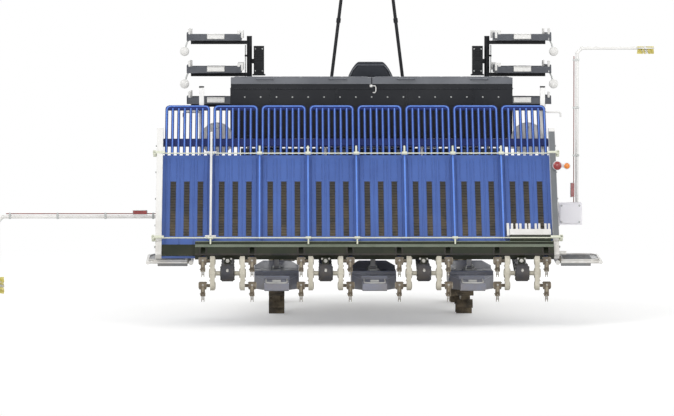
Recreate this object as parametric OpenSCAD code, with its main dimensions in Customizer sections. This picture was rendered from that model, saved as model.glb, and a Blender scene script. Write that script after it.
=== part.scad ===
// Eight-row riding rice transplanter, standing on its wheels.
// Lengths are in millimetres: +X is the machine's right, +Y is forward, +Z is up.
// Heights start at the floor. The left line marker is out, the right one is folded up.

/* [Wheels] */
// Diameter of a rear wheel over its lugs
rear_d = 950; // [920:5:970]
// Diameter of a front wheel over its lugs
front_d = 650; // [620:5:660]
// Distance from the rear axle to the front axle
wheelbase = 1180; // [1160:5:1210]
// Distance between the middles of the left and right wheels
tread = 1200; // [1190:5:1230]
// Width of a rear wheel's lugs
rear_lug_w = 100; // [80:2:104]
// Width of a front wheel's lugs
front_lug_w = 84; // [70:2:90]
// Height of a lug over its ring
lug_h = 42; // [30:1:46]
// Thickness of a lug along the tread
lug_t = 16; // [10:1:20]
// Number of lugs on a rear wheel
rear_lugs = 20; // [16:2:24]
// Number of lugs on a front wheel
front_lugs = 16; // [12:2:18]
// Width of a wheel's ring
ring_w = 46; // [36:1:56]
// Depth of a wheel's ring
ring_t = 34; // [26:1:40]
// Thickness of the rim band inside the ring
band_t = 8; // [6:1:12]
// Radius of a wheel's hub
hub_r = 55; // [48:1:62]
// Length of a wheel's hub
hub_l = 84; // [70:1:90]
// Radius of an axle stub
stub_r = 24; // [18:1:30]
// Gap all round between a shaft and its bore
running_gap = 0.3; // [0.2:0.1:0.5]

/* [Chassis] */
// Height of the underside of the frame rails
rail_z = 520; // [516:1:530]
// Height of a frame rail
rail_h = 70; // [60:1:76]
// Width of a frame rail
rail_w = 60; // [50:1:70]
// Distance from the centre line to the middle of a rail
rail_x = 230; // [215:1:240]
// Radius of the rear axle tube
rear_axle_r = 46; // [38:1:50]
// Radius of the front axle tube
front_axle_r = 40; // [34:1:44]
// Height of the front axle tube's middle
front_axle_z = 462; // [456:1:468]
// Distance from the middle of a front wheel in to its kingpin
kingpin_in = 120; // [110:1:130]
// Radius of a kingpin
kingpin_r = 20; // [16:1:24]
// Radius of a knuckle's gear case
knuckle_r = 44; // [40:1:48]
// Length of a steering arm
steer_arm = 120; // [110:1:130]
// Height of the tie rod
tie_z = 386; // [380:1:392]
// Radius of the tie rod
tie_r = 12; // [9:1:14]
// Height of the step floor's top
floor_z = 712; // [705:1:720]
// Thickness of the step floor
floor_t = 22; // [16:1:24]
// Half width of the step floor
floor_half = 620; // [600:5:640]

// Radius of the hole in the front tow block
tow_r = 10; // [8:1:14]
// Sideways distance from the middle to a bolt of the front weight plate
weight_x = 110; // [100:5:150]
// Upright distance from the middle to a bolt of the front weight plate
weight_z = 18; // [15:1:20]

/* [Seat and covers] */
// Half width of the seat deck
deck_half = 470; // [440:5:480]
// Height of the seat deck's top
deck_z = 1040; // [1030:1:1050]
// Wall thickness of the covers
cover_t = 6; // [4:0.5:8]
// Width of the seat cushion
seat_w = 460; // [420:5:500]
// Depth of the seat cushion
seat_d = 430; // [400:5:450]
// Thickness of the seat cushion
seat_t = 95; // [80:1:110]
// Height of the top of the seat back
seat_top_z = 1620; // [1600:1:1640]
// Half width of the bonnet
bonnet_half = 250; // [235:1:258]
// Height of the bonnet's rear edge
bonnet_z = 1180; // [1150:5:1200]
// Length of the bonnet
bonnet_l = 560; // [540:5:570]
// Radius of the steering wheel
wheel_r = 185; // [170:1:195]

/* [Hopper] */
// Half width of the fertiliser hopper
hopper_half = 888; // [870:1:900]
// Depth of the hopper from front to rear
hopper_d = 300; // [280:1:304]
// Height of the hopper's rim
hopper_z = 1500; // [1480:1:1510]
// Height of the hopper's walls
hopper_h = 370; // [350:1:380]
// Thickness of the hopper's walls
hopper_t = 5; // [4:0.5:7]
// Thickness of a hopper lid
lid_t = 14; // [10:1:18]
// Width of a metering unit
meter_w = 110; // [90:1:130]

/* [Spare seedling racks] */
// Distance from the centre line to the middle of a rack
rack_x = 1005; // [995:1:1015]
// Width of a rack tray
tray_w = 350; // [330:1:360]
// Length of a rack tray
tray_l = 640; // [600:5:660]
// Height of a rack tray's rim
tray_h = 55; // [45:1:65]
// Thickness of a rack tray's walls
tray_t = 8; // [6:1:10]
// Distance from the centre line to a rack's upright
upright_x = 777; // [770:1:782]
// Radius of a rack's upright
upright_r = 17; // [14:1:19]
// Heights of the three trays' undersides
tray_z = [1335, 1535, 1745];

/* [Guidance arch] */
// Radius of the arch's tube
arch_r = 11; // [9:1:13]
// Half width of the arch at its feet
arch_foot_x = 331; // [320:1:340]
// Half width of the arch at its top
arch_top_x = 125; // [115:1:135]
// Height of the arch's cross tube
arch_top_z = 2400; // [2350:5:2410]

/* [Linkage] */
// Length of the lift links between their pins
link_l = 540; // [530:1:550]
// Height of the lower links' pins
link_low_z = 400; // [395:1:405]
// Height of the upper link's pins
link_top_z = 620; // [615:1:630]
// Distance from the rear axle back to the front pins
link_front = 190; // [185:1:195]
// Distance from the centre line to a lower link
link_low_x = 160; // [150:1:165]
// Distance from the centre line to a bar of the upper link
link_top_x = 75; // [65:1:80]
// Radius of the linkage pins
link_pin_r = 14; // [11:1:16]
// Thickness of a link bar
link_t = 22; // [16:1:24]
// Height of the lift cylinder's upper pin
ram_z = 760; // [755:1:765]
// Distance from the rear axle back to the lift cylinder's upper pin
ram_back = 175; // [172:1:178]
// Distance along the lower links to the rod's pin
ram_arm = 270; // [266:1:274]
// Radius of the lift cylinder
ram_r = 30; // [26:1:32]
// Length of the lift cylinder from its pin to its rod end
ram_l = 255; // [252:1:257]
// Radius of the lift cylinder's rod
ram_rod_r = 13; // [10:1:15]
// Length of the rod from its pin to its inner end
ram_rod_l = 261; // [258:1:263]
// Radius of the hole in the rod's eye, wide because the linkage is open there
ram_eye_r = 21; // [20:0.5:22]

/* [Planting section] */
// Distance between two rows
row_pitch = 300; // [299:1:301]
// Distance from the rear axle back to the middle of the cross beam
beam_back = 840; // [835:1:845]
// Height of the middle of the cross beam
beam_z = 430; // [426:1:434]
// Side of the square cross beam
beam_w = 80; // [70:1:84]
// Half length of the cross beam
beam_half = 1085; // [1060:5:1100]
// Distance from the rear axle back to the rotors' shaft
rotor_back = 1420; // [1416:1:1424]
// Height of the rotors' shaft
rotor_z = 330; // [328:1:332]
// Distance from the rotor's shaft to a planting arm's shaft
rotor_reach = 75; // [70:1:77]
// Width of a planting case
case_w = 70; // [60:1:76]
// Radius of a planting case's rear end
case_r = 50; // [44:1:52]
// Distance from a case's middle to a rotor's middle
rotor_off = 92; // [88:1:94]
// Thickness of a rotor
rotor_t = 28; // [24:1:30]
// Width of a planting arm
arm_w = 44; // [36:1:50]
// Radius of a planting arm's shaft
arm_pin_r = 10; // [8:1:12]
// Length of a planting claw below its shaft
claw_l = 100; // [90:1:106]
// Height of the floats' underside, the depth of mud over the floor
float_z = 220; // [214:1:226]
// Width of a float's body
float_w = 276; // [256:2:290]
// Width of a float's tail
float_tail_w = 150; // [136:2:170]
// Height of a float at its tail
float_h = 65; // [55:1:70]
// Height of each of the two steps on a float's back
float_step = 20; // [12:1:22]
// Height of the carrier's posts
post_z = 1460; // [1440:5:1470]
// Side of a carrier post
post_w = 30; // [26:1:30]
// Half width of the round gusset beside a carrier post
gusset_r = 103; // [90:1:104]

/* [Seedling table] */
// Slope of the table
table_slope = 53; // [52.5:0.1:53.5]
// Length of the table up its slope
table_l = 1147; // [1120:1:1150]
// Length of the closed board, from the table's foot
board_l = 760; // [740:1:780]
// Thickness of the board
board_t = 20; // [16:1:22]
// Distance from the rear axle back to the table's foot
foot_back = 1330; // [1328:1:1332]
// Height of the table's foot
foot_z = 428; // [426:1:432]
// How far the table stands to the left of the middle
table_shift = 105; // [0:1:130]
// Length of the table rail's front face up the slope
rail_face = 88; // [80:1:92]
// Height of a divider over the board
divider_h = 32; // [26:1:36]
// Thickness of a divider
divider_t = 14; // [10:1:18]
// Thickness of a side plate
side_t = 38; // [34:1:42]
// Number of open slats in a row's upper part
slats = 8; // [6:1:9]
// Width of a slat
slat_w = 18; // [14:1:22]
// Radius of the slide tubes under the table
slide_r = 12; // [10:1:14]

/* [Line markers] */
// Distance from the end of the cross beam to a marker's pivot
marker_out = 205; // [200:1:215]
// Distance from the rear axle back to the markers
marker_back = 560; // [555:1:565]
// Height of a marker's pivot
marker_z = 640; // [635:1:645]
// Length of a marker's arm
marker_l = 1060; // [1000:5:1100]
// Length of a marker's tip, square to its arm
marker_tip = 430; // [400:5:440]
// Radius of a marker's arm
marker_r = 10; // [8:1:11]
// Radius of a marker's star disc
marker_disc_r = 55; // [45:1:60]

/* [Hidden] */
$fn = 48;
eps = 0.01;
bend_swell = 1.25;

// A wheel rests on the two lugs beside its lowest point.
function axle_height(d, lugs) = d / 2 * cos(180 / lugs) + lug_t / 2 * sin(180 / lugs);
rear_z = axle_height(rear_d, rear_lugs);
front_z = axle_height(front_d, front_lugs);

rows = 8;
cases = rows / 2;
half = rows / 2 * row_pitch;
row_x = [for (i = [0 : rows - 1]) (i - (rows - 1) / 2) * row_pitch];
case_x = [for (i = [0 : cases - 1]) (i - (cases - 1) / 2) * 2 * row_pitch];
float_x = [for (i = [0 : cases - 2]) (i - (cases - 2) / 2) * 2 * row_pitch];
sides = [-1, 1];

rail_rear_y = -150;
rail_front_y = wheelbase + 400;
rail_top = rail_z + rail_h;
member_y = 450;
diff_r = 95;
rear_box_y = 400;
hopper_front_y = -180;
hopper_rear_y = hopper_front_y - hopper_d;
hopper_floor_z = hopper_z - hopper_h;
deck_rear_y = -150;
deck_front_y = 430;
cover_y = deck_rear_y + 50;
dash_y = wheelbase - 280;
arch_y = wheelbase - 170;
bonnet_y = wheelbase - 115;
bonnet_front_y = bonnet_y + bonnet_l;
floor_rear_y = 500;
floor_front_y = dash_y + 160;
upright_y = 640;
arch_bar_r = arch_r + 3;
arch_plate_z = arch_top_z + arch_bar_r + 5;
kingpin_x = tread / 2 - kingpin_in;
guard_r = 17;
marker_pin_r = 8;
guard_x = 200;
guard_z = 640;
guard_y = bonnet_front_y + 55;

// The steering column leans back by column_tilt.
column_tilt = 32;
column_foot = [0, dash_y + 10, bonnet_z - 10];
column_dir = [0, -sin(column_tilt), cos(column_tilt)];
column_top = column_foot + 150 * column_dir;
hinge_x = 130;
hinge_y = bonnet_y + 4;
hinge_z = bonnet_z + 14;
hinge_r = 5;
lid_hinge_x = [-690, -200, 200, 690];
lid_hinge_y = hopper_front_y + 12;
lid_hinge_z = hopper_z - 8;
lid_pin_r = 4;
hopper_beam_z = 1010;
hopper_beam_h = 50;
beam_rear_y = rail_rear_y - 45;
meter_pitch = 420;
meter_in = 60;
meter_x = [for (i = [0 : cases - 1]) (i - (cases - 1) / 2) * meter_pitch];

link_rear_y = -link_front - link_l;
beam_y = -beam_back;
rotor_y = -rotor_back;
foot_y = -foot_back;
end_plate_t = 12;
post_x = beam_half - 15;
post_y = -600;
marker_x = beam_half + marker_out;
marker_y = -marker_back;
case_flat_z = 384;
float_top = float_z + float_h + 2 * float_step;
rail_seat_z = foot_z - 7;
rail_side_z = case_flat_z + 20;
slide_bore_r = slide_r + 0.4;
// The slide tubes, on the table's own axes: up its slope and out of its face.
slide_low = [60, -50];
slide_high = [873, -50];
lug_x = [-2 * row_pitch, 0, 2 * row_pitch];

// The origin is the middle of the standing machine's footprint box.
left_end = -(marker_x + marker_l + marker_r * bend_swell);
right_end = marker_x + marker_tip + marker_disc_r;
rear_end = rotor_y - case_r;
front_end = guard_y + guard_r;
centre_x = -(left_end + right_end) / 2;
centre_y = -(rear_end + front_end) / 2;

// Places everything from the machine's own axes: middle plane, rear axle, floor.
module placed() translate([centre_x, centre_y, 0]) children();

// A block from its lowest to its highest corner.
module block(a, b) translate(a) cube([b[0] - a[0], b[1] - a[1], b[2] - a[2]]);

// A round bar from one point to another.
module bar(a, b, r) {
    d = b - a;
    l = norm(d);
    translate(a) rotate([0, acos(d[2] / l), atan2(d[1], d[0])]) cylinder(h = l, r = r);
}

// A bent tube through a row of points, a little thicker at its bends.
module bent(points, r) {
    for (i = [0 : len(points) - 2]) bar(points[i], points[i + 1], r);
    for (i = [1 : len(points) - 2]) translate(points[i]) sphere(r = r * bend_swell);
}

// A cylinder along X, centred on x, y, z.
module across(x, y, z, l, r) translate([x - l / 2, y, z]) rotate([0, 90, 0]) cylinder(h = l, r = r);

// A side view in Y and Z, given as [y, z] points, made w wide around x.
module slab(x, w, points) {
    translate([x - w / 2, 0, 0]) rotate([90, 0, 90]) linear_extrude(w) polygon(points);
}

// A rectangle with round corners, from a to b.
module rounded(a, b, r) {
    translate([a[0] + r, a[1]]) square([b[0] - a[0] - 2 * r, b[1] - a[1]]);
    translate([a[0], a[1] + r]) square([b[0] - a[0], b[1] - a[1] - 2 * r]);
    for (x = [a[0] + r, b[0] - r], y = [a[1] + r, b[1] - r]) translate([x, y]) circle(r = r);
}

// The table's own axes: Y up the slope from its foot, Z out of its face.
module on_slope() translate([0, foot_y, foot_z]) rotate([table_slope, 0, 0]) children();
// The same, moved sideways with the table.
module on_table() translate([-table_shift, 0, 0]) on_slope() children();

// Chassis

module chassis_frame() {
    color("dimgray") placed() {
        for (s = sides)
            block([s * rail_x - rail_w / 2, rail_rear_y, rail_z],
                  [s * rail_x + rail_w / 2, rail_front_y, rail_top]);
        for (y = [rail_rear_y + 30, member_y, wheelbase, rail_front_y - 30])
            block([-rail_x, y - 30, rail_z], [rail_x, y + 30, rail_top]);
        // Rear mast, which holds the lift links, the lift cylinder and the hopper's beam.
        for (s = sides) {
            block([s * (link_low_x + 28) - 8, rail_rear_y - 70, link_low_z - 40],
                  [s * (link_low_x + 28) + 8, rail_rear_y + 20, rail_top + 60]);
            across(s * (link_low_x + 10), -link_front, link_low_z, 50, link_pin_r);
            block([s * rail_x - 20, rail_rear_y, rail_top - eps],
                  [s * rail_x + 20, rail_rear_y + 40, hopper_beam_z]);
            block([s * (link_low_x + 28) - 8, rail_rear_y, rail_z],
                  [s * rail_x, rail_rear_y + 20, rail_top]);
        }
        block([-rail_x, rail_rear_y, ram_z + 40], [rail_x, rail_rear_y + 40, ram_z + 80]);
        for (s = sides)
            block([s * (link_top_x - 27) - 6, -ram_back - 26, ram_z - 26],
                  [s * (link_top_x - 27) + 6, rail_rear_y + 10, ram_z + 60]);
        across(0, -ram_back, ram_z, 2 * link_top_x - 44, link_pin_r);
        for (s = sides) {
            block([s * (link_top_x + 28) - 6, -link_front - 26, rail_z],
                  [s * (link_top_x + 28) + 6, rail_rear_y + 10, link_top_z + 40]);
            across(s * (link_top_x + 10), -link_front, link_top_z, 48, link_pin_r);
        }
        block([-hopper_half + 60, beam_rear_y, hopper_beam_z],
              [hopper_half - 60, rail_rear_y + 40, hopper_beam_z + hopper_beam_h]);
        // Bars that carry the racks' uprights and the side steps.
        for (s = sides) {
            block([s > 0 ? rail_x : -upright_x - 40, upright_y - 22, rail_z + 10],
                  [s > 0 ? upright_x + 40 : -rail_x, upright_y + 22, rail_z + 54]);
        }
    }
}

module front_axle() {
    color("gray") placed() difference() {
        union() {
            across(0, wheelbase, front_axle_z, 2 * kingpin_x, front_axle_r);
            for (s = sides) translate([s * kingpin_x, wheelbase, front_axle_z - front_axle_r - 4])
                cylinder(h = 2 * front_axle_r + 34, r = knuckle_r + 4);
            block([-60, wheelbase - 28, front_axle_z], [60, wheelbase + 28, rail_z]);
            translate([0, wheelbase - 60, front_axle_z]) rotate([-90, 0, 0]) cylinder(h = 120, r = 52);
        }
        for (s = sides) translate([s * kingpin_x, wheelbase, front_axle_z - front_axle_r - 5])
            cylinder(h = 72, r = kingpin_r + running_gap);
    }
}

module rear_axle() {
    color("gray") placed() {
        axle_half = tread / 2 - hub_l / 2 - 1;
        across(0, 0, rear_z, 2 * axle_half, rear_axle_r);
        across(0, 0, rear_z, tread + hub_l + 30, stub_r);
        across(0, 0, rear_z, 150, diff_r);
        for (s = sides) block([s * rail_x - 34, -34, rear_z], [s * rail_x + 34, 34, rail_z]);
        for (s = sides) across(s * (axle_half - 20), 0, rear_z, 40, 70);
    }
}

module engine_block() {
    engine_half = bonnet_half - 60;
    engine_top = bonnet_z - 260;
    color("darkslategray") placed()
        block([-engine_half, wheelbase - 60, rail_top], [engine_half, rail_front_y - 40, engine_top]);
}

module gearbox() {
    color("gray") placed() {
        block([-130, diff_r + running_gap, rail_z - 60], [130, rear_box_y, rail_top + 20]);
        block([-100, member_y + 30, rail_z - 30], [100, wheelbase - 320, rail_top + 40]);
        translate([0, rear_box_y, rail_z + 20]) rotate([-90, 0, 0])
            cylinder(h = member_y - 30 - rear_box_y, r = 30);
    }
}

module step_floor() {
    front_half = floor_half - 60;
    step_w = 130;
    step_rear_y = floor_rear_y + 45;
    step_front_y = wheelbase - 405;
    step_z = 430;
    step_t = 16;
    hanger = 12;
    low = floor_z - floor_t;
    color("slategray") placed() {
        difference() {
            union() {
                block([-floor_half, floor_rear_y, low], [floor_half, floor_front_y, floor_z]);
                block([-front_half, floor_front_y - eps, low], [front_half, bonnet_front_y, floor_z]);
                block([-deck_half, deck_front_y - 10, low], [deck_half, floor_rear_y + eps, floor_z]);
            }
            block([-bonnet_half + 20, bonnet_y, low - 1],
                  [bonnet_half - 20, bonnet_front_y + 10, floor_z + 1]);
        }
        for (s = sides, y = [floor_rear_y + 30, wheelbase - 200])
            block([s * rail_x - 20, y - 20, rail_top], [s * rail_x + 20, y + 20, low + eps]);
        // Side steps under the floor's edge.
        for (s = sides) {
            x0 = s > 0 ? floor_half - step_w : -floor_half;
            x1 = s > 0 ? x0 : -floor_half + step_w - hanger;
            block([x0, step_rear_y, step_z], [x0 + step_w, step_front_y, step_z + step_t]);
            for (y = [step_rear_y, step_front_y - hanger])
                block([x1, y, step_z], [x1 + hanger, y + hanger, low + eps]);
        }
    }
}

module seat_deck() {
    color("gainsboro") placed() difference() {
        block([-deck_half, cover_y, floor_z], [deck_half, deck_front_y, deck_z]);
        block([-deck_half + cover_t, cover_y + cover_t, floor_z - 1],
              [deck_half - cover_t, deck_front_y - cover_t, deck_z - cover_t]);
    }
}

module dashboard() {
    dash_w = 2 * bonnet_half - 40;
    face_y = bonnet_y - 8;
    knee_y = dash_y + 60;
    lip_y = dash_y - 20;
    color("darkslategray") placed() {
        difference() {
            slab(0, dash_w, [[knee_y, floor_z], [face_y, floor_z], [face_y, bonnet_z + 30],
                             [knee_y, bonnet_z + 50], [lip_y, bonnet_z - 40], [lip_y, bonnet_z - 110]]);
            slab(0, dash_w - 2 * cover_t,
                 [[knee_y + cover_t, floor_z - 1], [face_y - cover_t, floor_z - 1],
                  [face_y - cover_t, bonnet_z + 20], [knee_y + 2, bonnet_z + 40],
                  [lip_y + 10, bonnet_z - 44], [lip_y + 10, bonnet_z - 104]]);
        }
        bar(column_foot, column_top, 22);
        // Ears and pins of the bonnet's hinge.
        for (s = sides) {
            block([s * hinge_x - 5, face_y - 1, hinge_z - 9], [s * hinge_x + 5, hinge_y + 9, hinge_z + 9]);
            across(s * (hinge_x - 10), hinge_y, hinge_z, 24, hinge_r);
        }
    }
}

module seat_cushion() {
    seat_rear_y = cover_y + 50;
    color("darkslategray") placed() translate([0, 0, deck_z + running_gap]) linear_extrude(seat_t)
        rounded([-seat_w / 2, seat_rear_y], [seat_w / 2, seat_rear_y + seat_d], 60);
}

module seat_back() {
    back_low = deck_z + seat_t + 30;
    back_t = 62;
    back_y = cover_y + 38;
    strap = 16;
    // Half widths of the back at its heights.
    halves = [[195, back_low], [205, back_low + 60], [145, seat_top_z - 105],
              [95, seat_top_z - 20], [80, seat_top_z]];
    color("darkslategray") placed() {
        translate([0, back_y, 0]) rotate([90, 0, 0]) linear_extrude(back_t)
            polygon(concat(halves, [for (i = [len(halves) - 1 : -1 : 0]) [-halves[i][0], halves[i][1]]]));
        for (s = sides)
            block([s * 90 - strap, cover_y, deck_z], [s * 90 + strap, cover_y + strap, back_low + 10]);
    }
}

module rack_frames() {
    foot_top = rail_z + 54;
    outer_x = rack_x + tray_w / 2 - 20;
    box_x = upright_x - 62;
    neck_x = upright_x - 20;
    color("dimgray") placed() for (s = sides) {
        translate([s * upright_x, upright_y, foot_top])
            cylinder(h = tray_z[2] + 30 - foot_top, r = upright_r);
        for (z = tray_z)
            block([s > 0 ? upright_x : -outer_x, upright_y - 12, z - 24],
                  [s > 0 ? outer_x : -upright_x, upright_y + 12, z]);
        block([s * box_x - 34, upright_y - 40, tray_z[1] - 10],
              [s * box_x + 34, upright_y + 40, tray_z[1] + 175]);
        block([s * neck_x - 14, upright_y - 10, tray_z[1] + 60],
              [s * neck_x + 14, upright_y + 10, tray_z[1] + 90]);
    }
}

module rack_trays() {
    color("darkslategray") placed() for (s = sides, z = tray_z) {
        translate([s * rack_x, upright_y, z]) difference() {
            block([-tray_w / 2, -tray_l / 2, 0], [tray_w / 2, tray_l / 2, tray_h]);
            block([-tray_w / 2 + tray_t, -tray_l / 2 + tray_t, tray_t],
                  [tray_w / 2 - tray_t, tray_l / 2 - tray_t, tray_h + 1]);
        }
    }
}

module guidance_arch() {
    foot = 30;
    foot_t = 10;
    color("dimgray") placed() {
        for (s = sides) {
            bar([s * arch_foot_x, arch_y, floor_z + foot_t / 2],
                [s * arch_top_x, arch_y, arch_top_z], arch_r);
            block([s * arch_foot_x - foot, arch_y - foot, floor_z],
                  [s * arch_foot_x + foot, arch_y + foot, floor_z + foot_t]);
        }
        across(0, arch_y, arch_top_z, 2 * arch_top_x + 4 * arch_r, arch_bar_r);
        block([-60, arch_y - 40, arch_plate_z - 8], [60, arch_y + 40, arch_plate_z]);
    }
}

module receiver() {
    color("gainsboro") placed() translate([0, arch_y, arch_plate_z]) {
        cylinder(h = 28, r = 85);
        translate([0, 0, 28]) cylinder(h = 20, r = 70);
    }
}

module hopper() {
    low = hopper_beam_z + hopper_beam_h;
    funnel_half = meter_w / 2 + 60;
    color("darkslategray") placed() difference() {
        union() {
            block([-hopper_half, hopper_rear_y, hopper_floor_z], [hopper_half, hopper_front_y, hopper_z]);
            for (x = meter_x) translate([x, hopper_front_y - meter_in, 0]) rotate([90, 0, 0])
                linear_extrude(hopper_d - 2 * meter_in)
                    polygon([[-meter_w / 2, low], [meter_w / 2, low],
                             [funnel_half, hopper_floor_z + eps], [-funnel_half, hopper_floor_z + eps]]);
        }
        block([-hopper_half + hopper_t, hopper_rear_y + hopper_t, hopper_floor_z + hopper_t],
              [hopper_half - hopper_t, hopper_front_y - hopper_t, hopper_z + 1]);
    }
    // Ears and pins of the lids' hinges.
    color("darkslategray") placed() for (x = lid_hinge_x) {
        block([x - 5, hopper_front_y - 1, lid_hinge_z - 8], [x + 5, lid_hinge_y + 8, lid_hinge_z + 8]);
        across(x, lid_hinge_y, lid_hinge_z, 40, lid_pin_r);
    }
}

module metering_units() {
    meter_low_z = hopper_beam_z - 50;
    duct_r = 35;
    color("gray") placed() {
        for (x = meter_x)
            block([x - meter_w / 2, hopper_rear_y + meter_in, meter_low_z],
                  [x + meter_w / 2, beam_rear_y, hopper_beam_z + hopper_beam_h]);
        across(0, hopper_rear_y + 110, meter_low_z - duct_r + 10, (cases - 1) * meter_pitch + 240, duct_r);
    }
}

module front_guard() {
    post_half = guard_r + 7;
    plate_t = 12;
    weight_bolt_r = 6.5;
    color("dimgray") placed() difference() {
        union() {
            for (s = sides) {
                bar([s * guard_x, rail_front_y + 4, guard_z], [s * guard_x, guard_y, guard_z], guard_r - 3);
                block([s * guard_x - post_half, rail_front_y, rail_z],
                      [s * guard_x + post_half, rail_front_y + plate_t, guard_z + post_half]);
            }
            across(0, guard_y, guard_z, 2 * guard_x + 2 * guard_r + 8, guard_r);
            block([-rail_x, rail_front_y, rail_z], [rail_x, rail_front_y + plate_t, rail_top]);
            block([-12, rail_front_y, rail_z + 10], [12, guard_y, rail_top - 10]);
        }
        across(0, guard_y - 30, rail_z + rail_h / 2, 60, tow_r);
        for (x = [-weight_x, weight_x], z = [-weight_z, weight_z])
            translate([x, rail_front_y - 10, rail_z + rail_h / 2 + z]) rotate([-90, 0, 0])
                cylinder(h = 40, r = weight_bolt_r);
    }
}

module headlamps() {
    color("gainsboro") placed() for (s = sides)
        translate([s * (bonnet_half - 85), bonnet_front_y, floor_z + 108]) rotate([-90, 0, 0])
            cylinder(h = 26, r = 48);
}

module bonnet_form(grow) {
    low = grow > 0 ? floor_z - 12 : floor_z + 8;
    rear_y = grow > 0 ? bonnet_y - 1 : bonnet_y;
    front_y = bonnet_front_y - grow;
    intersection() {
        slab(0, 2 * (bonnet_half - grow),
             [[rear_y, low], [front_y, low], [front_y, bonnet_z - 250],
              [front_y - 60 + grow / 2, bonnet_z - 160 - grow],
              [bonnet_y + 160, bonnet_z - 30 - grow], [rear_y, bonnet_z - grow]]);
        translate([0, 0, low]) linear_extrude(bonnet_z - low)
            rounded([-bonnet_half + grow, bonnet_y - 200], [bonnet_half - grow, front_y], 70 - grow / 2);
    }
}

module bonnet() {
    lug_x = hinge_x - 15;
    color("steelblue") placed() {
        difference() {
            bonnet_form(0);
            bonnet_form(cover_t);
        }
        for (s = sides) difference() {
            union() {
                block([s * lug_x - 7, hinge_y - 8, bonnet_z - 5], [s * lug_x + 7, hinge_y + 8, hinge_z]);
                across(s * lug_x, hinge_y, hinge_z, 14, 9);
            }
            across(s * lug_x, hinge_y, hinge_z, 20, hinge_r + running_gap);
        }
    }
}

module hopper_lid(s) {
    x0 = s > 0 ? 3 : -hopper_half;
    x1 = x0 + hopper_half - 3;
    low = hopper_z + running_gap;
    front_y = hopper_front_y + 4;
    color("darkslategray") placed() {
        block([x0, hopper_rear_y - 8, low], [x1, front_y, low + lid_t]);
        block([x0, hopper_rear_y - 8, hopper_z - 26], [x1, hopper_rear_y - 2, low + lid_t]);
        for (x = lid_hinge_x) if (x * s > 0) difference() {
            union() {
                block([x + 6, front_y - eps, lid_hinge_z], [x + 18, lid_hinge_y + 7, low + lid_t]);
                across(x + 12, lid_hinge_y, lid_hinge_z, 12, 7);
            }
            across(x + 12, lid_hinge_y, lid_hinge_z, 20, lid_pin_r + running_gap);
        }
    }
}
module hopper_lid_left() { hopper_lid(-1); }
module hopper_lid_right() { hopper_lid(1); }

module steering_wheel() {
    color("dimgray") placed() translate(column_top + running_gap * column_dir) rotate([column_tilt, 0, 0]) {
        translate([0, 0, 10]) rotate_extrude($fn = 64) translate([wheel_r - 13, 0]) circle(r = 13);
        cylinder(h = 34, r = 40);
        for (a = [0 : 120 : 240]) rotate(a + 90) translate([30, -12, 4]) cube([wheel_r - 42, 24, 12]);
    }
}

module knuckle(s) {
    color("gray") placed() translate([s * kingpin_x, wheelbase, 0]) {
        top = front_axle_z - front_axle_r - 5;
        translate([0, 0, front_z - 40]) cylinder(h = top - front_z + 40, r = knuckle_r);
        translate([0, 0, top - eps]) cylinder(h = 66, r = kingpin_r);
        hub_end = tread / 2 - kingpin_x - hub_l / 2 - 1;
        across(s * hub_end / 2, 0, front_z, hub_end, 48);
        across(s * (hub_end + (hub_l + 16) / 2), 0, front_z, hub_l + 16, stub_r);
        difference() {
            block([-18, -steer_arm - 22, tie_z + tie_r + 1], [18, 0, tie_z + tie_r + 17]);
            translate([0, -steer_arm, tie_z]) cylinder(h = 60, r = 8);
        }
        translate([0, -steer_arm, tie_z - 18]) cylinder(h = tie_r + 35, r = 8);
    }
}
module knuckle_left() { knuckle(-1); }
module knuckle_right() { knuckle(1); }

module tie_rod() {
    color("silver") placed() difference() {
        union() {
            across(0, wheelbase - steer_arm, tie_z, 2 * kingpin_x, tie_r - 2);
            for (s = sides) translate([s * kingpin_x, wheelbase - steer_arm, tie_z - tie_r])
                cylinder(h = 2 * tie_r, r = 18);
        }
        for (s = sides) translate([s * kingpin_x, wheelbase - steer_arm, tie_z - 40])
            cylinder(h = 80, r = 8 + running_gap);
    }
}

// A ring with lugs, its shaft along X, with its lowest point between two lugs.
module tyre(d, lugs, lug_w) {
    ring_r = d / 2 - lug_h;
    rotate([0, 90, 0]) {
        difference() {
            cylinder(h = ring_w, r = ring_r, center = true, $fn = 96);
            cylinder(h = ring_w + 2, r = ring_r - ring_t, center = true, $fn = 96);
        }
        for (i = [0 : lugs - 1]) rotate((i + 0.5) * 360 / lugs)
            translate([ring_r - 12, -lug_t / 2, -lug_w / 2]) cube([lug_h + 12, lug_t, lug_w]);
    }
}

module rim(d, spokes) {
    band_r = d / 2 - lug_h - ring_t;
    rotate([0, 90, 0]) difference() {
        union() {
            difference() {
                cylinder(h = ring_w - 6, r = band_r, center = true, $fn = 96);
                cylinder(h = ring_w, r = band_r - band_t, center = true, $fn = 96);
            }
            cylinder(h = hub_l, r = hub_r, center = true);
            for (i = [0 : spokes - 1]) rotate((i + 0.5) * 360 / spokes)
                translate([hub_r - 10, -19, -8]) cube([band_r - band_t - hub_r + 13, 38, 16]);
        }
        cylinder(h = hub_l + 2, r = stub_r + running_gap, center = true);
    }
}

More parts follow.
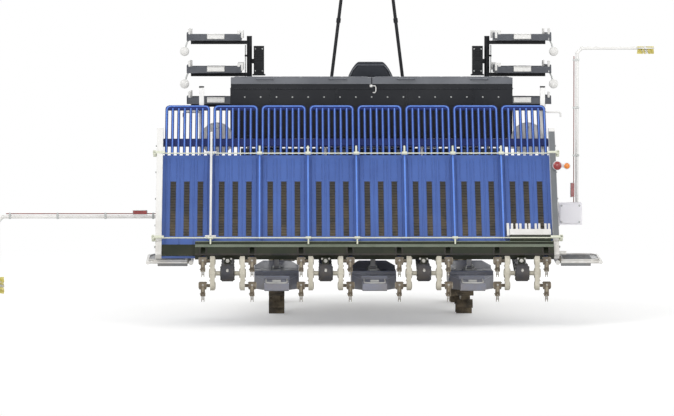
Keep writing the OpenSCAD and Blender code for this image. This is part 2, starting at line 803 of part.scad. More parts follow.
module wheel_at(s, y, z) placed() translate([s * tread / 2, y, z]) children();
module front_tyre(s) {
    color("dimgray") wheel_at(s, wheelbase, front_z) tyre(front_d, front_lugs, front_lug_w);
}
module front_tyre_left() { front_tyre(-1); }
module front_tyre_right() { front_tyre(1); }
module front_rim_left() { color("silver") wheel_at(-1, wheelbase, front_z) rim(front_d, 5); }
module front_rim_right() { color("silver") wheel_at(1, wheelbase, front_z) rim(front_d, 5); }
module rear_tyre_left() { color("dimgray") wheel_at(-1, 0, rear_z) tyre(rear_d, rear_lugs, rear_lug_w); }
module rear_tyre_right() { color("dimgray") wheel_at(1, 0, rear_z) tyre(rear_d, rear_lugs, rear_lug_w); }
module rear_rim_left() { color("silver") wheel_at(-1, 0, rear_z) rim(rear_d, 6); }
module rear_rim_right() { color("silver") wheel_at(1, 0, rear_z) rim(rear_d, 6); }

// Lift linkage

module lower_links() {
    color("dimgray") placed() {
        difference() {
            union() {
                for (s = sides) slab(s * link_low_x, link_t,
                    [[-link_front + 10, link_low_z - 22], [-link_front + 10, link_low_z + 22],
                     [link_rear_y - 10, link_low_z + 22], [link_rear_y - 10, link_low_z - 22]]);
                for (s = sides) {
                    for (y = [-link_front, link_rear_y])
                        across(s * link_low_x, y, link_low_z, link_t + 4, link_pin_r + 12);
                    across(s * (link_low_x / 2 + 11), -link_front - ram_arm, link_low_z, link_low_x - 22, 20);
                }
            }
            for (y = [-link_front, link_rear_y]) across(0, y, link_low_z, 400, link_pin_r + running_gap);
        }
        across(0, -link_front - ram_arm, link_low_z, 60, 8);
    }
}

module upper_link() {
    color("dimgray") placed() difference() {
        union() {
            for (s = sides) slab(s * link_top_x, link_t,
                [[-link_front + 6, link_top_z - 18], [-link_front + 6, link_top_z + 18],
                 [link_rear_y - 6, link_top_z + 18], [link_rear_y - 6, link_top_z - 18]]);
            for (s = sides, y = [-link_front, link_rear_y])
                across(s * link_top_x, y, link_top_z, link_t + 4, link_pin_r + 10);
            across(0, link_rear_y + 90, link_top_z, 2 * link_top_x, 14);
        }
        for (y = [-link_front, link_rear_y]) across(0, y, link_top_z, 400, link_pin_r + running_gap);
    }
}

// The lift cylinder's own axes: Z from its upper pin to the rod's pin.
ram_vector = [0, -link_front - ram_arm + ram_back, link_low_z - ram_z];
ram_span = norm(ram_vector);
module on_ram() {
    placed() translate([0, -ram_back, ram_z])
        rotate([atan2(ram_vector[1], -ram_vector[2]), 0, 0]) mirror([0, 0, 1]) children();
}

module lift_cylinder() {
    color("dimgray") on_ram() difference() {
        union() {
            translate([0, 0, 22]) cylinder(h = ram_l - 22, r = ram_r);
            across(0, 0, 0, 40, 24);
            block([-16, -16, 0], [16, 16, 30]);
        }
        translate([0, 0, 28]) cylinder(h = ram_l, r = ram_rod_r + running_gap);
        across(0, 0, 0, 60, link_pin_r + running_gap);
    }
}

module lift_rod() {
    color("silver") on_ram() difference() {
        union() {
            translate([0, 0, ram_span - ram_rod_l]) cylinder(h = ram_rod_l - ram_eye_r - 2, r = ram_rod_r);
            across(0, 0, ram_span, 34, ram_eye_r + 9);
        }
        across(0, 0, ram_span, 60, ram_eye_r);
    }
}

// Planting section

module planting_frame() {
    bar_x = beam_half + 40;
    color("gainsboro") placed() {
        block([-beam_half, beam_y - beam_w / 2, beam_z - beam_w / 2],
              [beam_half, beam_y + beam_w / 2, beam_z + beam_w / 2]);
        for (s = sides) {
            block([s * (link_low_x + 28) - 8, beam_y + beam_w / 2 - eps, link_low_z - 32],
                  [s * (link_low_x + 28) + 8, link_rear_y + 32, link_top_z + 50]);
            across(s * (link_low_x + 10), link_rear_y, link_low_z, 50, link_pin_r);
            block([s * beam_half - (s > 0 ? 0 : end_plate_t), beam_y - beam_w / 2, beam_z - beam_w / 2],
                  [s * beam_half + (s > 0 ? end_plate_t : 0), marker_y + 30, beam_z + beam_w / 2]);
            block([s * beam_half - (s > 0 ? 0 : end_plate_t), marker_y - 60, beam_z],
                  [s * beam_half + (s > 0 ? end_plate_t : 0), marker_y + 30, marker_z + 60]);
            bar([s * bar_x, beam_y, beam_z - 10], [s * bar_x, foot_y + 28, rail_side_z - 16], 14);
            block([s > 0 ? beam_half : -bar_x - 12, beam_y - 20, beam_z - 30],
                  [s > 0 ? bar_x + 12 : -beam_half, beam_y + 20, beam_z + 10]);
        }
        block([-link_low_x - 28, beam_y + beam_w / 2 - eps, link_top_z + 20],
              [link_low_x + 28, beam_y + beam_w / 2 + 30, link_top_z + 50]);
        for (s = sides) {
            block([s * (link_top_x + 28) - 6, beam_y + beam_w / 2 + 20, link_top_z - 26],
                  [s * (link_top_x + 28) + 6, link_rear_y + 26, link_top_z + 40]);
            across(s * (link_top_x + 10), link_rear_y, link_top_z, 48, link_pin_r);
        }
        for (x = float_x)
            block([x - 15, beam_y - 20, float_top], [x + 15, beam_y + 10, beam_z - beam_w / 2 + eps]);
    }
}

module planting_cases() {
    color("dimgray") placed() for (x = case_x) difference() {
        union() {
            slab(x, case_w, [[beam_y - beam_w / 2, beam_z - 36], [beam_y - beam_w / 2, beam_z + 30],
                             [beam_y - 340, case_flat_z], [rotor_y + 40, case_flat_z],
                             [rotor_y, rotor_z + case_r], [rotor_y, rotor_z - case_r],
                             [rotor_y + 60, rotor_z - case_r]]);
            across(x, rotor_y, rotor_z, case_w, case_r);
        }
        across(x, rotor_y, rotor_z, case_w + 10, 14 + running_gap);
    }
}

module floats() {
    tail_y = rotor_y - 10;
    wide_y = rotor_y + 280;
    nose_y = -690;
    step_y = rotor_y + 140;
    heel_z = float_z + float_h;
    color("slategray") placed() for (x = float_x) intersection() {
        slab(x, float_w + 2,
             [[tail_y, float_z + 6], [tail_y + 30, float_z], [nose_y - 140, float_z], [nose_y, float_z + 105],
              [nose_y, float_top + 45], [nose_y - 125, float_top], [wide_y + 20, float_top],
              [wide_y + 20, heel_z + float_step], [step_y, heel_z + float_step], [step_y, heel_z],
              [tail_y + 130, heel_z], [tail_y, heel_z - 20]]);
        translate([x, 0, 0]) linear_extrude(beam_z) polygon(concat(
            [for (s = sides) [s * float_tail_w / 2, tail_y]],
            [[float_tail_w / 2, tail_y + 140], [float_w / 2, wide_y], [float_w / 2, nose_y - 70],
             [float_w / 2 - 50, nose_y], [50 - float_w / 2, nose_y], [-float_w / 2, nose_y - 70],
             [-float_w / 2, wide_y], [-float_tail_w / 2, tail_y + 140]]));
    }
}

module side_guards() {
    tube_x = beam_half + 54 + running_gap;
    tube_r = 9;
    reach = 250;
    front = [beam_y - 110, beam_z - 18];
    rear = [foot_y + 60, beam_z - 40];
    color("gainsboro") placed() for (s = sides) {
        for (p = [front, rear]) bar([s * tube_x, p[0], p[1]], [s * (tube_x + reach), p[0], p[1]], tube_r);
        bar([s * (tube_x + reach), front[0] + 24, front[1]],
            [s * (tube_x + reach), rear[0] - 24, rear[1]], tube_r + 3);
    }
}

module gate_rail() {
    rail_half = half - 100;
    // The rail's foot lies below the board's edge, its face in front of the mats.
    foot_low = -14;
    foot_top = -8;
    foot_in = -12;
    face_out = 28;
    rail_t = 6;
    // A claw passes through the notch of its row.
    notch = 14;
    color("darkolivegreen") placed() {
        on_slope() difference() {
            union() {
                block([-rail_half, foot_low, foot_in], [rail_half, foot_top, face_out + rail_t]);
                block([-rail_half, foot_low, face_out], [rail_half, rail_face, face_out + rail_t]);
            }
            for (x = row_x) block([x - notch, foot_low - rail_t, 10], [x + notch, 46, face_out + 2 * rail_t]);
        }
        for (x = case_x) block([x - 20, foot_y - 24, case_flat_z], [x + 20, foot_y - 4, rail_seat_z]);
    }
}

function slope_point(p) = [foot_y + p[0] * cos(table_slope) - p[1] * sin(table_slope),
                           foot_z + p[0] * sin(table_slope) + p[1] * cos(table_slope)];

module table_carrier() {
    low = slope_point(slide_low);
    high = slope_point(slide_high);
    brace_low = high[1] - 25;
    gusset_y = post_y - 60;
    gusset_x = post_x + 6 - gusset_r;
    color("gainsboro") placed() {
        for (s = sides) {
            block([s * post_x - post_w / 2, post_y - post_w / 2, beam_z + beam_w / 2 - 30],
                  [s * post_x + post_w / 2, post_y + post_w / 2, post_z]);
            block([s * post_x - 6, high[0] - 2, brace_low], [s * post_x + 6, post_y, high[1] + 8]);
            block([s * gusset_x - gusset_r, gusset_y, brace_low],
                  [s * gusset_x + gusset_r, gusset_y + 6, high[1] + 38]);
            translate([s * gusset_x, gusset_y, high[1] + 38]) rotate([-90, 0, 0])
                cylinder(h = 6, r = gusset_r);
        }
        across(0, high[0], high[1], 2 * post_x, slide_r);
        for (s = sides)
            bar([s * row_pitch, beam_y, beam_z + beam_w / 2 + 2], [s * row_pitch, high[0], high[1]], 14);
        across(0, low[0], low[1], 2 * (half - 20), slide_r);
        for (x = case_x) block([x - 8, low[0] - 12, case_flat_z], [x + 8, low[0] + 12, low[1]]);
    }
}

module marker_boxes() {
    plate_x = beam_half + end_plate_t;
    ear_in = 40;
    ear_half = 47;
    ear_t = 10;
    color("gainsboro") placed() for (s = sides) {
        // Drive box behind the pivot.
        block([s > 0 ? marker_x - 120 : -marker_x - 24, marker_y - ear_half - 78, marker_z - 46],
              [s > 0 ? marker_x + 24 : 120 - marker_x, marker_y - ear_half + eps, marker_z + 93]);
        // Two ears and the pin between them, on a web and an arm from the end plate.
        for (y = [-ear_half, ear_half - ear_t])
            block([s > 0 ? marker_x - ear_in : -marker_x - 20, marker_y + y, marker_z - 20],
                  [s > 0 ? marker_x + 20 : ear_in - marker_x, marker_y + y + ear_t, marker_z + 20]);
        block([s > 0 ? marker_x - ear_in : ear_in - 12 - marker_x, marker_y - ear_half, marker_z - 20],
              [s > 0 ? marker_x - ear_in + 12 : ear_in - marker_x, marker_y + ear_half, marker_z + 20]);
        translate([s * marker_x, marker_y - ear_half + 1, marker_z]) rotate([-90, 0, 0])
            cylinder(h = 2 * ear_half - 2, r = marker_pin_r);
        block([s > 0 ? plate_x : ear_in - marker_x - eps, marker_y - 20, marker_z - 10],
              [s > 0 ? marker_x - ear_in + eps : -plate_x, marker_y + 20, marker_z + 30]);
    }
}

module table_board() {
    color("steelblue") placed() on_table() difference() {
        union() {
            block([-half, 0, -board_t], [half, board_l, 0]);
            for (x = lug_x) block([x - 20, slide_low[0] - 22, slide_low[1] - 22],
                                  [x + 20, slide_low[0] + 22, -board_t + eps]);
        }
        across(0, slide_low[0], slide_low[1], 2 * half, slide_bore_r);
    }
}

// Dividers between the rows, lower at the table's foot.
module table_dividers() {
    low_l = 95;
    low_h = divider_h - 12;
    color("steelblue") placed() on_table() for (i = [1 : rows - 1])
        slab(-half + i * row_pitch, divider_t,
             [[0, 0], [board_l, 0], [board_l, divider_h],
              [low_l, divider_h], [low_l - 10, low_h], [0, low_h]]);
}

module table_slats() {
    pitch = row_pitch / slats;
    end_x = row_pitch / 2 - (pitch - slat_w) / 2;
    color("cornflowerblue") placed() on_table() difference() {
        union() {
            for (r = [0 : rows - 1], i = [0 : slats - 1]) {
                x = -half + r * row_pitch + (i + 0.5) * pitch;
                block([x - slat_w / 2, board_l, -16], [x + slat_w / 2, table_l - 30, -2]);
            }
            for (r = [0 : rows - 1]) {
                x = -half + (r + 0.5) * row_pitch;
                translate([x, 0, -16]) linear_extrude(14) intersection() {
                    rounded([-end_x, table_l - 90], [end_x, table_l], 30);
                    translate([-end_x, table_l - 32]) square([2 * end_x, 32]);
                }
            }
            block([-half, slide_high[0] - 26, -30], [half, slide_high[0] + 26, -15]);
            for (x = lug_x)
                block([x - 20, slide_high[0] - 22, slide_high[1] - 22], [x + 20, slide_high[0] + 22, -29]);
        }
        across(0, slide_high[0], slide_high[1], 2 * half, slide_bore_r);
    }
}

module table_sides() {
    upper = board_l + 190;
    lower = 100;
    low_z = -25;
    step_z = 20;
    high_z = 58;
    color("gainsboro") placed() on_table() for (s = sides) {
        x0 = s > 0 ? half : -half - side_t;
        translate([x0, 0, 0]) rotate([90, 0, 90]) linear_extrude(side_t) union() {
            polygon([[0, low_z], [upper, low_z], [upper, step_z], [upper - 40, high_z],
                     [lower, high_z], [lower, step_z], [0, step_z]]);
            translate([upper - 35, step_z]) circle(r = high_z - step_z);
        }
    }
}

module mat_rods() {
    upper_rod_s = board_l - 18;
    lower_rod_s = 106;
    rod_up = 48;
    color("gainsboro") placed() on_table() {
        for (along = [upper_rod_s, lower_rod_s]) across(0, along, rod_up, 2 * half, 4);
        for (i = [1, 3, 4, 6]) {
            x = -half + i * row_pitch;
            block([x - 4, lower_rod_s - 5, divider_h], [x + 4, lower_rod_s + 5, rod_up + 2]);
        }
    }
}

// Planting rotors and arms

module rotor_plate(x) {
    slab(x, rotor_t, [[rotor_y - 30, rotor_z - rotor_reach], [rotor_y + 30, rotor_z - rotor_reach],
                      [rotor_y + 30, rotor_z + rotor_reach], [rotor_y - 30, rotor_z + rotor_reach]]);
    for (d = [-1, 1]) across(x, rotor_y, rotor_z + d * rotor_reach, rotor_t, 30);
}

module planting_rotors() {
    color("silver") placed() for (x = case_x) {
        across(x, rotor_y, rotor_z, 2 * rotor_off, 14);
        for (s = sides) difference() {
            rotor_plate(x + s * rotor_off);
            for (z = [rotor_z - rotor_reach, rotor_z + rotor_reach])
                across(x + s * rotor_off, rotor_y, z, rotor_t + 4, arm_pin_r + running_gap);
        }
    }
}

module planting_arms(z) {
    color("gray") placed() for (x = case_x, s = sides) translate([x + s * row_pitch / 2, rotor_y, z]) {
        across(0, 0, 0, arm_w, 24);
        across(-s * (arm_w / 2 + 23), 0, 0, 46, arm_pin_r);
        slab(0, 26, [[-22, 0], [22, 0], [28, -42], [22, -62], [0, -62], [-18, -34]]);
        for (d = [-1, 1]) slab(d * 7, 4, [[6, -58], [18, -58], [14, -claw_l], [10, -claw_l]]);
    }
}
module planting_arms_a() { planting_arms(rotor_z + rotor_reach); }
module planting_arms_b() { planting_arms(rotor_z - rotor_reach); }

// Line markers

// A marker with its arm along X from its pivot and its tip square to it.
module marker() {
    corner = 30;
    difference() {
        union() {
            rotate([90, 0, 0]) cylinder(h = 70, r = 22, center = true);
            bent([[12, 0, 0], [marker_l - corner, 0, 0], [marker_l, 0, -corner],
                  [marker_l, 0, -marker_tip]], marker_r);
        }
        rotate([90, 0, 0]) cylinder(h = 80, r = marker_pin_r + running_gap, center = true);
    }
    translate([marker_l - 4, 0, -marker_tip]) rotate([0, 90, 0]) cylinder(h = 8, r = marker_disc_r);
}
module marker_left() {
    color("gainsboro") placed() translate([-marker_x, marker_y, marker_z]) mirror([1, 0, 0]) marker();
}
module marker_right() {
    color("gainsboro") placed() translate([marker_x, marker_y, marker_z]) rotate([0, -90, 0]) marker();
}

chassis_frame();
front_axle();
rear_axle();
engine_block();
gearbox();
step_floor();
seat_deck();
dashboard();
seat_cushion();
seat_back();
rack_frames();
rack_trays();
guidance_arch();
receiver();
hopper();
metering_units();
front_guard();
headlamps();
bonnet();
hopper_lid_left();
hopper_lid_right();
steering_wheel();
knuckle_left();
knuckle_right();
tie_rod();
front_tyre_left();
front_tyre_right();
front_rim_left();
front_rim_right();
rear_tyre_left();
rear_tyre_right();
rear_rim_left();
rear_rim_right();
lower_links();
upper_link();
lift_cylinder();
lift_rod();
planting_frame();
planting_cases();
floats();
side_guards();
gate_rail();
table_carrier();
marker_boxes();
table_board();
table_dividers();
table_slats();
table_sides();
mat_rods();
planting_rotors();
planting_arms_a();
planting_arms_b();
marker_left();
marker_right();
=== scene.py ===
import math

import bmesh
import bpy
from mathutils import Matrix, Vector


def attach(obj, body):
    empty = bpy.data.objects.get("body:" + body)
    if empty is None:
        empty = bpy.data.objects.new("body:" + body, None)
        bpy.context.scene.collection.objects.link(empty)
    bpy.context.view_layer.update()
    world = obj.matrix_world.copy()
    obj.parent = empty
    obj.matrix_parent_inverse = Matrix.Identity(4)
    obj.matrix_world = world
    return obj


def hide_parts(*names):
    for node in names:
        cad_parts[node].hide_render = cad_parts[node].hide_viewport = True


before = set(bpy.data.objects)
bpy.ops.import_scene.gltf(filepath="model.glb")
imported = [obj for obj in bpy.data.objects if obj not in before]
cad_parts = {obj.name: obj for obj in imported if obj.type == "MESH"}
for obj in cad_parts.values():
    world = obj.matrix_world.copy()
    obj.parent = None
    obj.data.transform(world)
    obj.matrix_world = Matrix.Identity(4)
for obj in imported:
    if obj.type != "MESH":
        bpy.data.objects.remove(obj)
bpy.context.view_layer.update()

# Lengths in this script are millimetres from the machine's middle plane (X), its rear axle (Y)
# and the floor (Z), until a piece is made, when they become metres in the shared frame.
TO_FRAME = Vector((293.75, -113.5, 0.0))
SIDES = (-1, 1)

UP, DOWN = Vector((0, 0, 1)), Vector((0, 0, -1))
AHEAD, BEHIND = Vector((0, 1, 0)), Vector((0, -1, 0))

# Seedling table
ROW_PITCH = 300
ROW_COUNT = 8
TABLE_HALF = ROW_COUNT * ROW_PITCH / 2
TABLE_SLOPE = math.radians(53)
TABLE_SHIFT = 105
FOOT = (-1330, 428)
ROD_ALONG = (106, 742)

# Planting section
CASE_X = (-900, -300, 300, 900)
CASE_HALF = 35
FLOAT_X = (-600, 0, 600)
FLOAT_HALF = 137
FLOAT_TOP, FLOAT_STEP, FLOAT_TAIL = 324, 304, 284
DRIVE_SHAFT = (-985, 408)
FLANGE_Y = -889
ROTOR = Vector((0, -1420, 330))
ROTOR_REACH = 75
POST_X, POST_Y = 1070, -600
GUARD_X = (1146, 1350, 1386)
MARKER_PIVOT = Vector((1290, -560, 640))
MARKER_ARM, MARKER_TIP = 1060, 430

# Wheels and axles
WHEEL_X = 600
REAR_Z, FRONT_Z, WHEELBASE = 470.4, 320.3, 1180
KINGPIN_X = 480
AXLE_Z = 462

# Chassis and covers
RAIL_X, RAIL_Z = 230, 555
LINK_PIN_Z = (400, 620)
CHASSIS_PIN_Y, SECTION_PIN_Y = -190, -730
FLOOR_Z = 712
DECK_Z = 1040
ARCH_Y, ARCH_FOOT_X, ARCH_TOP_X, ARCH_TOP_Z = 1010, 331, 125, 2400
ARCH_PLATE_Z = 2419
HOPPER_HALF, HOPPER_REAR, HOPPER_FRONT = 888, -480, -180
BONNET_HALF = 250
LID_MIDDLE = 445
METERING_X = (-630, -210, 210, 630)
METERING_SHAFT = (-238, 986)

# Racks for spare seedlings
RACK_X = 1005
TRAY_HALF = 175
TRAY_Y = (320, 960)
TRAY_Z = (1335, 1535, 1745)
UPRIGHT_X, UPRIGHT_Y = 777, 640
BOX_X = 715
KNOB_X = 1195
CONTROL_ROD_X, CLIP_X = 803, 788


def metres(x, y, z):
    return (Vector((x, y, z)) + TO_FRAME) / 1000


def spread(first, last, count):
    """Evenly spaced values, both ends included."""
    return [first + (last - first) * i / (count - 1) for i in range(count)]


def table_point(x, along, out):
    """A place on the seedling table: sideways, up its slope from its foot, and out of its face."""
    c, s = math.cos(TABLE_SLOPE), math.sin(TABLE_SLOPE)
    return Vector((x - TABLE_SHIFT, FOOT[0] + along * c - out * s, FOOT[1] + along * s + out * c))


# Camera: a long lens straight behind the machine, a little over the table's height

EYE = (-600, -29330, 1820)
AIM = (-230, -1330, 725)

camera = bpy.data.objects.new("camera", bpy.data.cameras.new("camera"))
bpy.context.scene.collection.objects.link(camera)
bpy.context.scene.camera = camera
camera.data.lens = 244.5
camera.data.sensor_width = 36
camera.data.clip_start, camera.data.clip_end = 1, 400
camera.location = metres(*EYE)
camera.rotation_euler = (metres(*AIM) - camera.location).to_track_quat("-Z", "Y").to_euler()


# Shader groups

def shade(r, g, b):
    """An sRGB colour, 0 to 255, as the linear colour that Blender takes."""
    return tuple(c / 3294.6 if c <= 10.3 else ((c / 255 + 0.055) / 1.055) ** 2.4 for c in (r, g, b)) + (1,)


class Group:
    """A shader node group under construction."""

    def __init__(self, name, inputs, outputs):
        self.tree = bpy.data.node_groups.new(name, "ShaderNodeTree")
        for label, kind, value in inputs:
            socket = self.tree.interface.new_socket(label, in_out="INPUT", socket_type="NodeSocket" + kind)
            socket.default_value = value
        for label, kind in outputs:
            self.tree.interface.new_socket(label, in_out="OUTPUT", socket_type="NodeSocket" + kind)
        self.given = self.tree.nodes.new("NodeGroupInput").outputs
        self.result = self.tree.nodes.new("NodeGroupOutput").inputs

    def node(self, kind, links=None, **settings):
        return add_node(self.tree, kind, links, **settings)

    def out(self, label, socket):
        self.tree.links.new(socket, self.result[label])


def add_node(tree, kind, links=None, **settings):
    """Adds a node; links gives its inputs, by name or place, as sockets or plain values."""
    made = tree.nodes.new("ShaderNode" + kind)
    for key, value in settings.items():
        setattr(made, key, value)
    for key, value in (links or {}).items():
        if isinstance(value, bpy.types.NodeSocket):
            tree.links.new(value, made.inputs[key])
        else:
            made.inputs[key].default_value = value
    return made


def ranged(owner, value, low, high):
    """Takes low to 0 and high to 1, and holds the value there beyond them."""
    return owner.node("MapRange", {"Value": value, "From Min": low, "From Max": high}).outputs["Result"]


def maths(owner, operation, a, b=0.5, clamp=False):
    return owner.node("Math", {0: a, 1: b}, operation=operation, use_clamp=clamp).outputs[0]


def mixed(owner, factor, a, b):
    return owner.node("MixRGB", {"Fac": factor, "Color1": a, "Color2": b}).outputs["Color"]


def build_mottle():
    g = Group("colour_mottle", [("Color", "Color", (1, 1, 1, 1)), ("Deep Color", "Color", (0, 0, 0, 1)),
                                ("Scale", "Float", 6.0), ("Amount", "Float", 0.3)],
              [("Color", "Color"), ("Mask", "Float")])
    place = g.node("TexCoord").outputs["Object"]
    broad = g.node("TexNoise", {"Vector": place, "Scale": g.given["Scale"], "Detail": 5.0,
                                "Roughness": 0.6})
    mask = ranged(g, broad.outputs["Fac"], 0.35, 0.68)
    strength = maths(g, "MULTIPLY", mask, g.given["Amount"])
    g.out("Color", mixed(g, strength, g.given["Color"], g.given["Deep Color"]))
    g.out("Mask", mask)
    return g.tree


def build_soil_film():
    g = Group("soil_film", [("Color", "Color", (1, 1, 1, 1)), ("Soil Color", "Color", shade(104, 92, 74)),
                           ("Top", "Float", 0.6), ("Fade", "Float", 0.5), ("Amount", "Float", 0.5),
                           ("Scale", "Float", 9.0)],
              [("Color", "Color"), ("Mask", "Float")])
    place = g.node("TexCoord").outputs["Object"]
    height = g.node("SeparateXYZ", {0: place}).outputs["Z"]
    depth = maths(g, "DIVIDE", maths(g, "SUBTRACT", g.given["Top"], height), g.given["Fade"], clamp=True)
    blotch = g.node("TexNoise", {"Vector": place, "Scale": g.given["Scale"], "Detail": 8.0,
                                 "Roughness": 0.65})
    patches = maths(g, "ADD", ranged(g, blotch.outputs["Fac"], 0.4, 0.62),
                    maths(g, "MULTIPLY", depth, 0.35), clamp=True)
    mask = maths(g, "MULTIPLY", maths(g, "MULTIPLY", depth, patches), g.given["Amount"], clamp=True)
    g.out("Color", mixed(g, mask, g.given["Color"], g.given["Soil Color"]))
    g.out("Mask", mask)
    return g.tree


# Edges picked out in another colour: paint wear on most finishes, a painted highlight on the table's slats.
def build_edge_wear_and_sheen():
    g = Group("edge_wear_and_sheen", [("Radius", "Float", 0.004), ("Scale", "Float", 60.0), ("Amount", "Float", 0.5)],
              [("Mask", "Float")])
    place = g.node("TexCoord").outputs["Object"]
    soft = g.node("Bevel", {"Radius": g.given["Radius"]}, samples=4).outputs["Normal"]
    flat = g.node("NewGeometry").outputs["Normal"]
    turned = g.node("VectorMath", {0: soft, 1: flat}, operation="DOT_PRODUCT").outputs["Value"]
    edge = ranged(g, turned, 0.995, 0.9)
    chips = g.node("TexNoise", {"Vector": place, "Scale": g.given["Scale"], "Detail": 6.0,
                                "Roughness": 0.7})
    broken = ranged(g, chips.outputs["Fac"], 0.45, 0.6)
    g.out("Mask", maths(g, "MULTIPLY", maths(g, "MULTIPLY", edge, broken), g.given["Amount"], clamp=True))
    return g.tree


def build_skin():
    g = Group("surface_skin", [("Scale", "Float", 400.0), ("Waviness", "Float", 0.2)],
              [("Height", "Float")])
    place = g.node("TexCoord").outputs["Object"]
    fine = g.node("TexNoise", {"Vector": place, "Scale": g.given["Scale"], "Detail": 3.0})
    broad = g.node("TexNoise", {"Vector": place, "Scale": maths(g, "DIVIDE", g.given["Scale"], 40.0),
                                "Detail": 2.0})
    g.out("Height", maths(g, "ADD", fine.outputs["Fac"],
                          maths(g, "MULTIPLY", broad.outputs["Fac"], g.given["Waviness"])))
    return g.tree


def build_pebble():
    g = Group("pebble_grain", [("Scale", "Float", 500.0)], [("Height", "Float"), ("Mask", "Float")])
    place = g.node("TexCoord").outputs["Object"]
    cells = g.node("TexVoronoi", {"Vector": place, "Scale": g.given["Scale"]}, feature="DISTANCE_TO_EDGE")
    g.out("Height", ranged(g, cells.outputs["Distance"], 0.0, 0.25))
    g.out("Mask", ranged(g, cells.outputs["Distance"], 0.12, 0.0))
    return g.tree


MOTTLE, SOIL_FILM, EDGE_WEAR_AND_SHEEN, SKIN, PEBBLE = (build_mottle(), build_soil_film(), build_edge_wear_and_sheen(),
                                             build_skin(), build_pebble())


class Finish:
    """A surface finish under construction: colour, then dry soil, then edge wear, each on the last; on the
    slats the edges are painted highlights.
    """

    def __init__(self, name, colour, deep, roughness, metallic=0.0, mottle=(5.0, 0.4)):
        self.material = bpy.data.materials.new(name)
        self.material.use_nodes = True
        self.tree = self.material.node_tree
        self.shader = self.tree.nodes["Principled BSDF"]
        self.shader.inputs["Metallic"].default_value = metallic
        self.material.diffuse_color = shade(*colour)
        made = self.group(MOTTLE, {"Color": shade(*colour), "Deep Color": shade(*deep), "Scale": mottle[0],
                                   "Amount": mottle[1]})
        self.colour, self.mask = made.outputs["Color"], made.outputs["Mask"]
        self.rough = maths(self, "ADD", maths(self, "MULTIPLY", self.mask, 0.14), roughness - 0.07)
        self.normal = None

    def node(self, kind, links=None, **settings):
        return add_node(self.tree, kind, links, **settings)

    def group(self, tree, links):
        made = self.tree.nodes.new("ShaderNodeGroup")
        made.node_tree = tree
        for key, value in links.items():
            if isinstance(value, bpy.types.NodeSocket):
                self.tree.links.new(value, made.inputs[key])
            else:
                made.inputs[key].default_value = value
        return made

    def soiled(self, top, amount, fade=0.5, scale=9.0, colour=None):
        """A film of dry soil, thicker towards the floor, up to a height in metres."""
        links = {"Color": self.colour, "Top": top, "Fade": fade, "Amount": amount, "Scale": scale}
        if colour:
            links["Soil Color"] = shade(*colour)
        made = self.group(SOIL_FILM, links)
        self.colour = made.outputs["Color"]
        duller = maths(self, "MULTIPLY", made.outputs["Mask"], 0.35)
        self.rough = maths(self, "ADD", self.rough, duller, clamp=True)
        return self

    # Edge colour: real wear on most finishes, a painted highlight on the table's slats and their beads.
    def wear_and_sheen(self, colour, amount=0.5, radius=0.004, scale=60.0):
        made = self.group(EDGE_WEAR_AND_SHEEN, {"Radius": radius, "Scale": scale, "Amount": amount})
        self.colour = mixed(self, made.outputs["Mask"], self.colour, shade(*colour))
        return self

    def skinned(self, scale, depth, waviness=0.2, edge=0.0015):
        """Fine relief, with edges rounded in the shading by edge metres."""
        soft = self.node("Bevel", {"Radius": edge}, samples=4).outputs["Normal"]
        height = self.group(SKIN, {"Scale": scale, "Waviness": waviness}).outputs["Height"]
        bump = self.node("Bump", {"Height": height, "Distance": depth, "Strength": 1.0, "Normal": soft})
        self.normal = bump.outputs["Normal"]
        return self

    def pebbled(self, scale, depth):
        height = self.group(PEBBLE, {"Scale": scale}).outputs["Height"]
        links = {"Height": height, "Distance": depth, "Strength": 1.0}
        if self.normal:
            links["Normal"] = self.normal
        self.normal = self.node("Bump", links).outputs["Normal"]
        return self

    def done(self, **plain):
        links = self.tree.links
        links.new(self.colour, self.shader.inputs["Base Color"])
        links.new(self.rough, self.shader.inputs["Roughness"])
        if self.normal:
            links.new(self.normal, self.shader.inputs["Normal"])
        for key, value in plain.items():
            self.shader.inputs[key.replace("_", " ").title().replace("Ior", "IOR")].default_value = value
        return self.material


DRY_SOIL = (132, 119, 98)
BARE_STEEL = (150, 148, 142)

blue_plastic = (
    Finish("blue_plastic", (66, 98, 168), (48, 76, 140), 0.42, mottle=(3.0, 0.5))
    .soiled(0.75, 0.18).wear_and_sheen((120, 142, 190), 0.35).skinned(700, 0.0002).done(coat_weight=0.1))
# Slats: a deep navy, darker than their own blue, is painted shade; the lighter colour on their edges is a
# painted highlight.
slat_shaded_navy = (
    Finish("slat_shaded_navy", (30, 46, 108), (20, 33, 86), 0.42, mottle=(4.0, 0.45))
    .wear_and_sheen((70, 92, 158), 0.3).skinned(700, 0.0002).done(specular_ior_level=0.3))
white_paint = (
    Finish("white_paint", (234, 233, 230), (208, 208, 206), 0.36, mottle=(4.0, 0.4))
    .soiled(0.9, 0.35, colour=DRY_SOIL).wear_and_sheen((120, 116, 108), 0.55).skinned(300, 0.0002)
    .done(coat_weight=0.25))
cover_white = (
    Finish("cover_white", (232, 231, 234), (212, 212, 216), 0.38, mottle=(2.5, 0.4))
    .soiled(1.0, 0.25, colour=DRY_SOIL).wear_and_sheen((176, 174, 168), 0.3).skinned(600, 0.0002)
    .done(coat_weight=0.15))
box_white = (
    Finish("box_white", (244, 242, 246), (226, 224, 230), 0.38, mottle=(3.0, 0.4))
    .wear_and_sheen((186, 184, 180), 0.3).skinned(600, 0.0002).done(coat_weight=0.15))
frame_grey = (
    Finish("frame_grey", (74, 77, 80), (56, 58, 60), 0.45, mottle=(4.0, 0.5))
    .soiled(0.8, 0.6, colour=DRY_SOIL).wear_and_sheen(BARE_STEEL, 0.6).skinned(260, 0.0003, 0.5)
    .done(coat_weight=0.1))
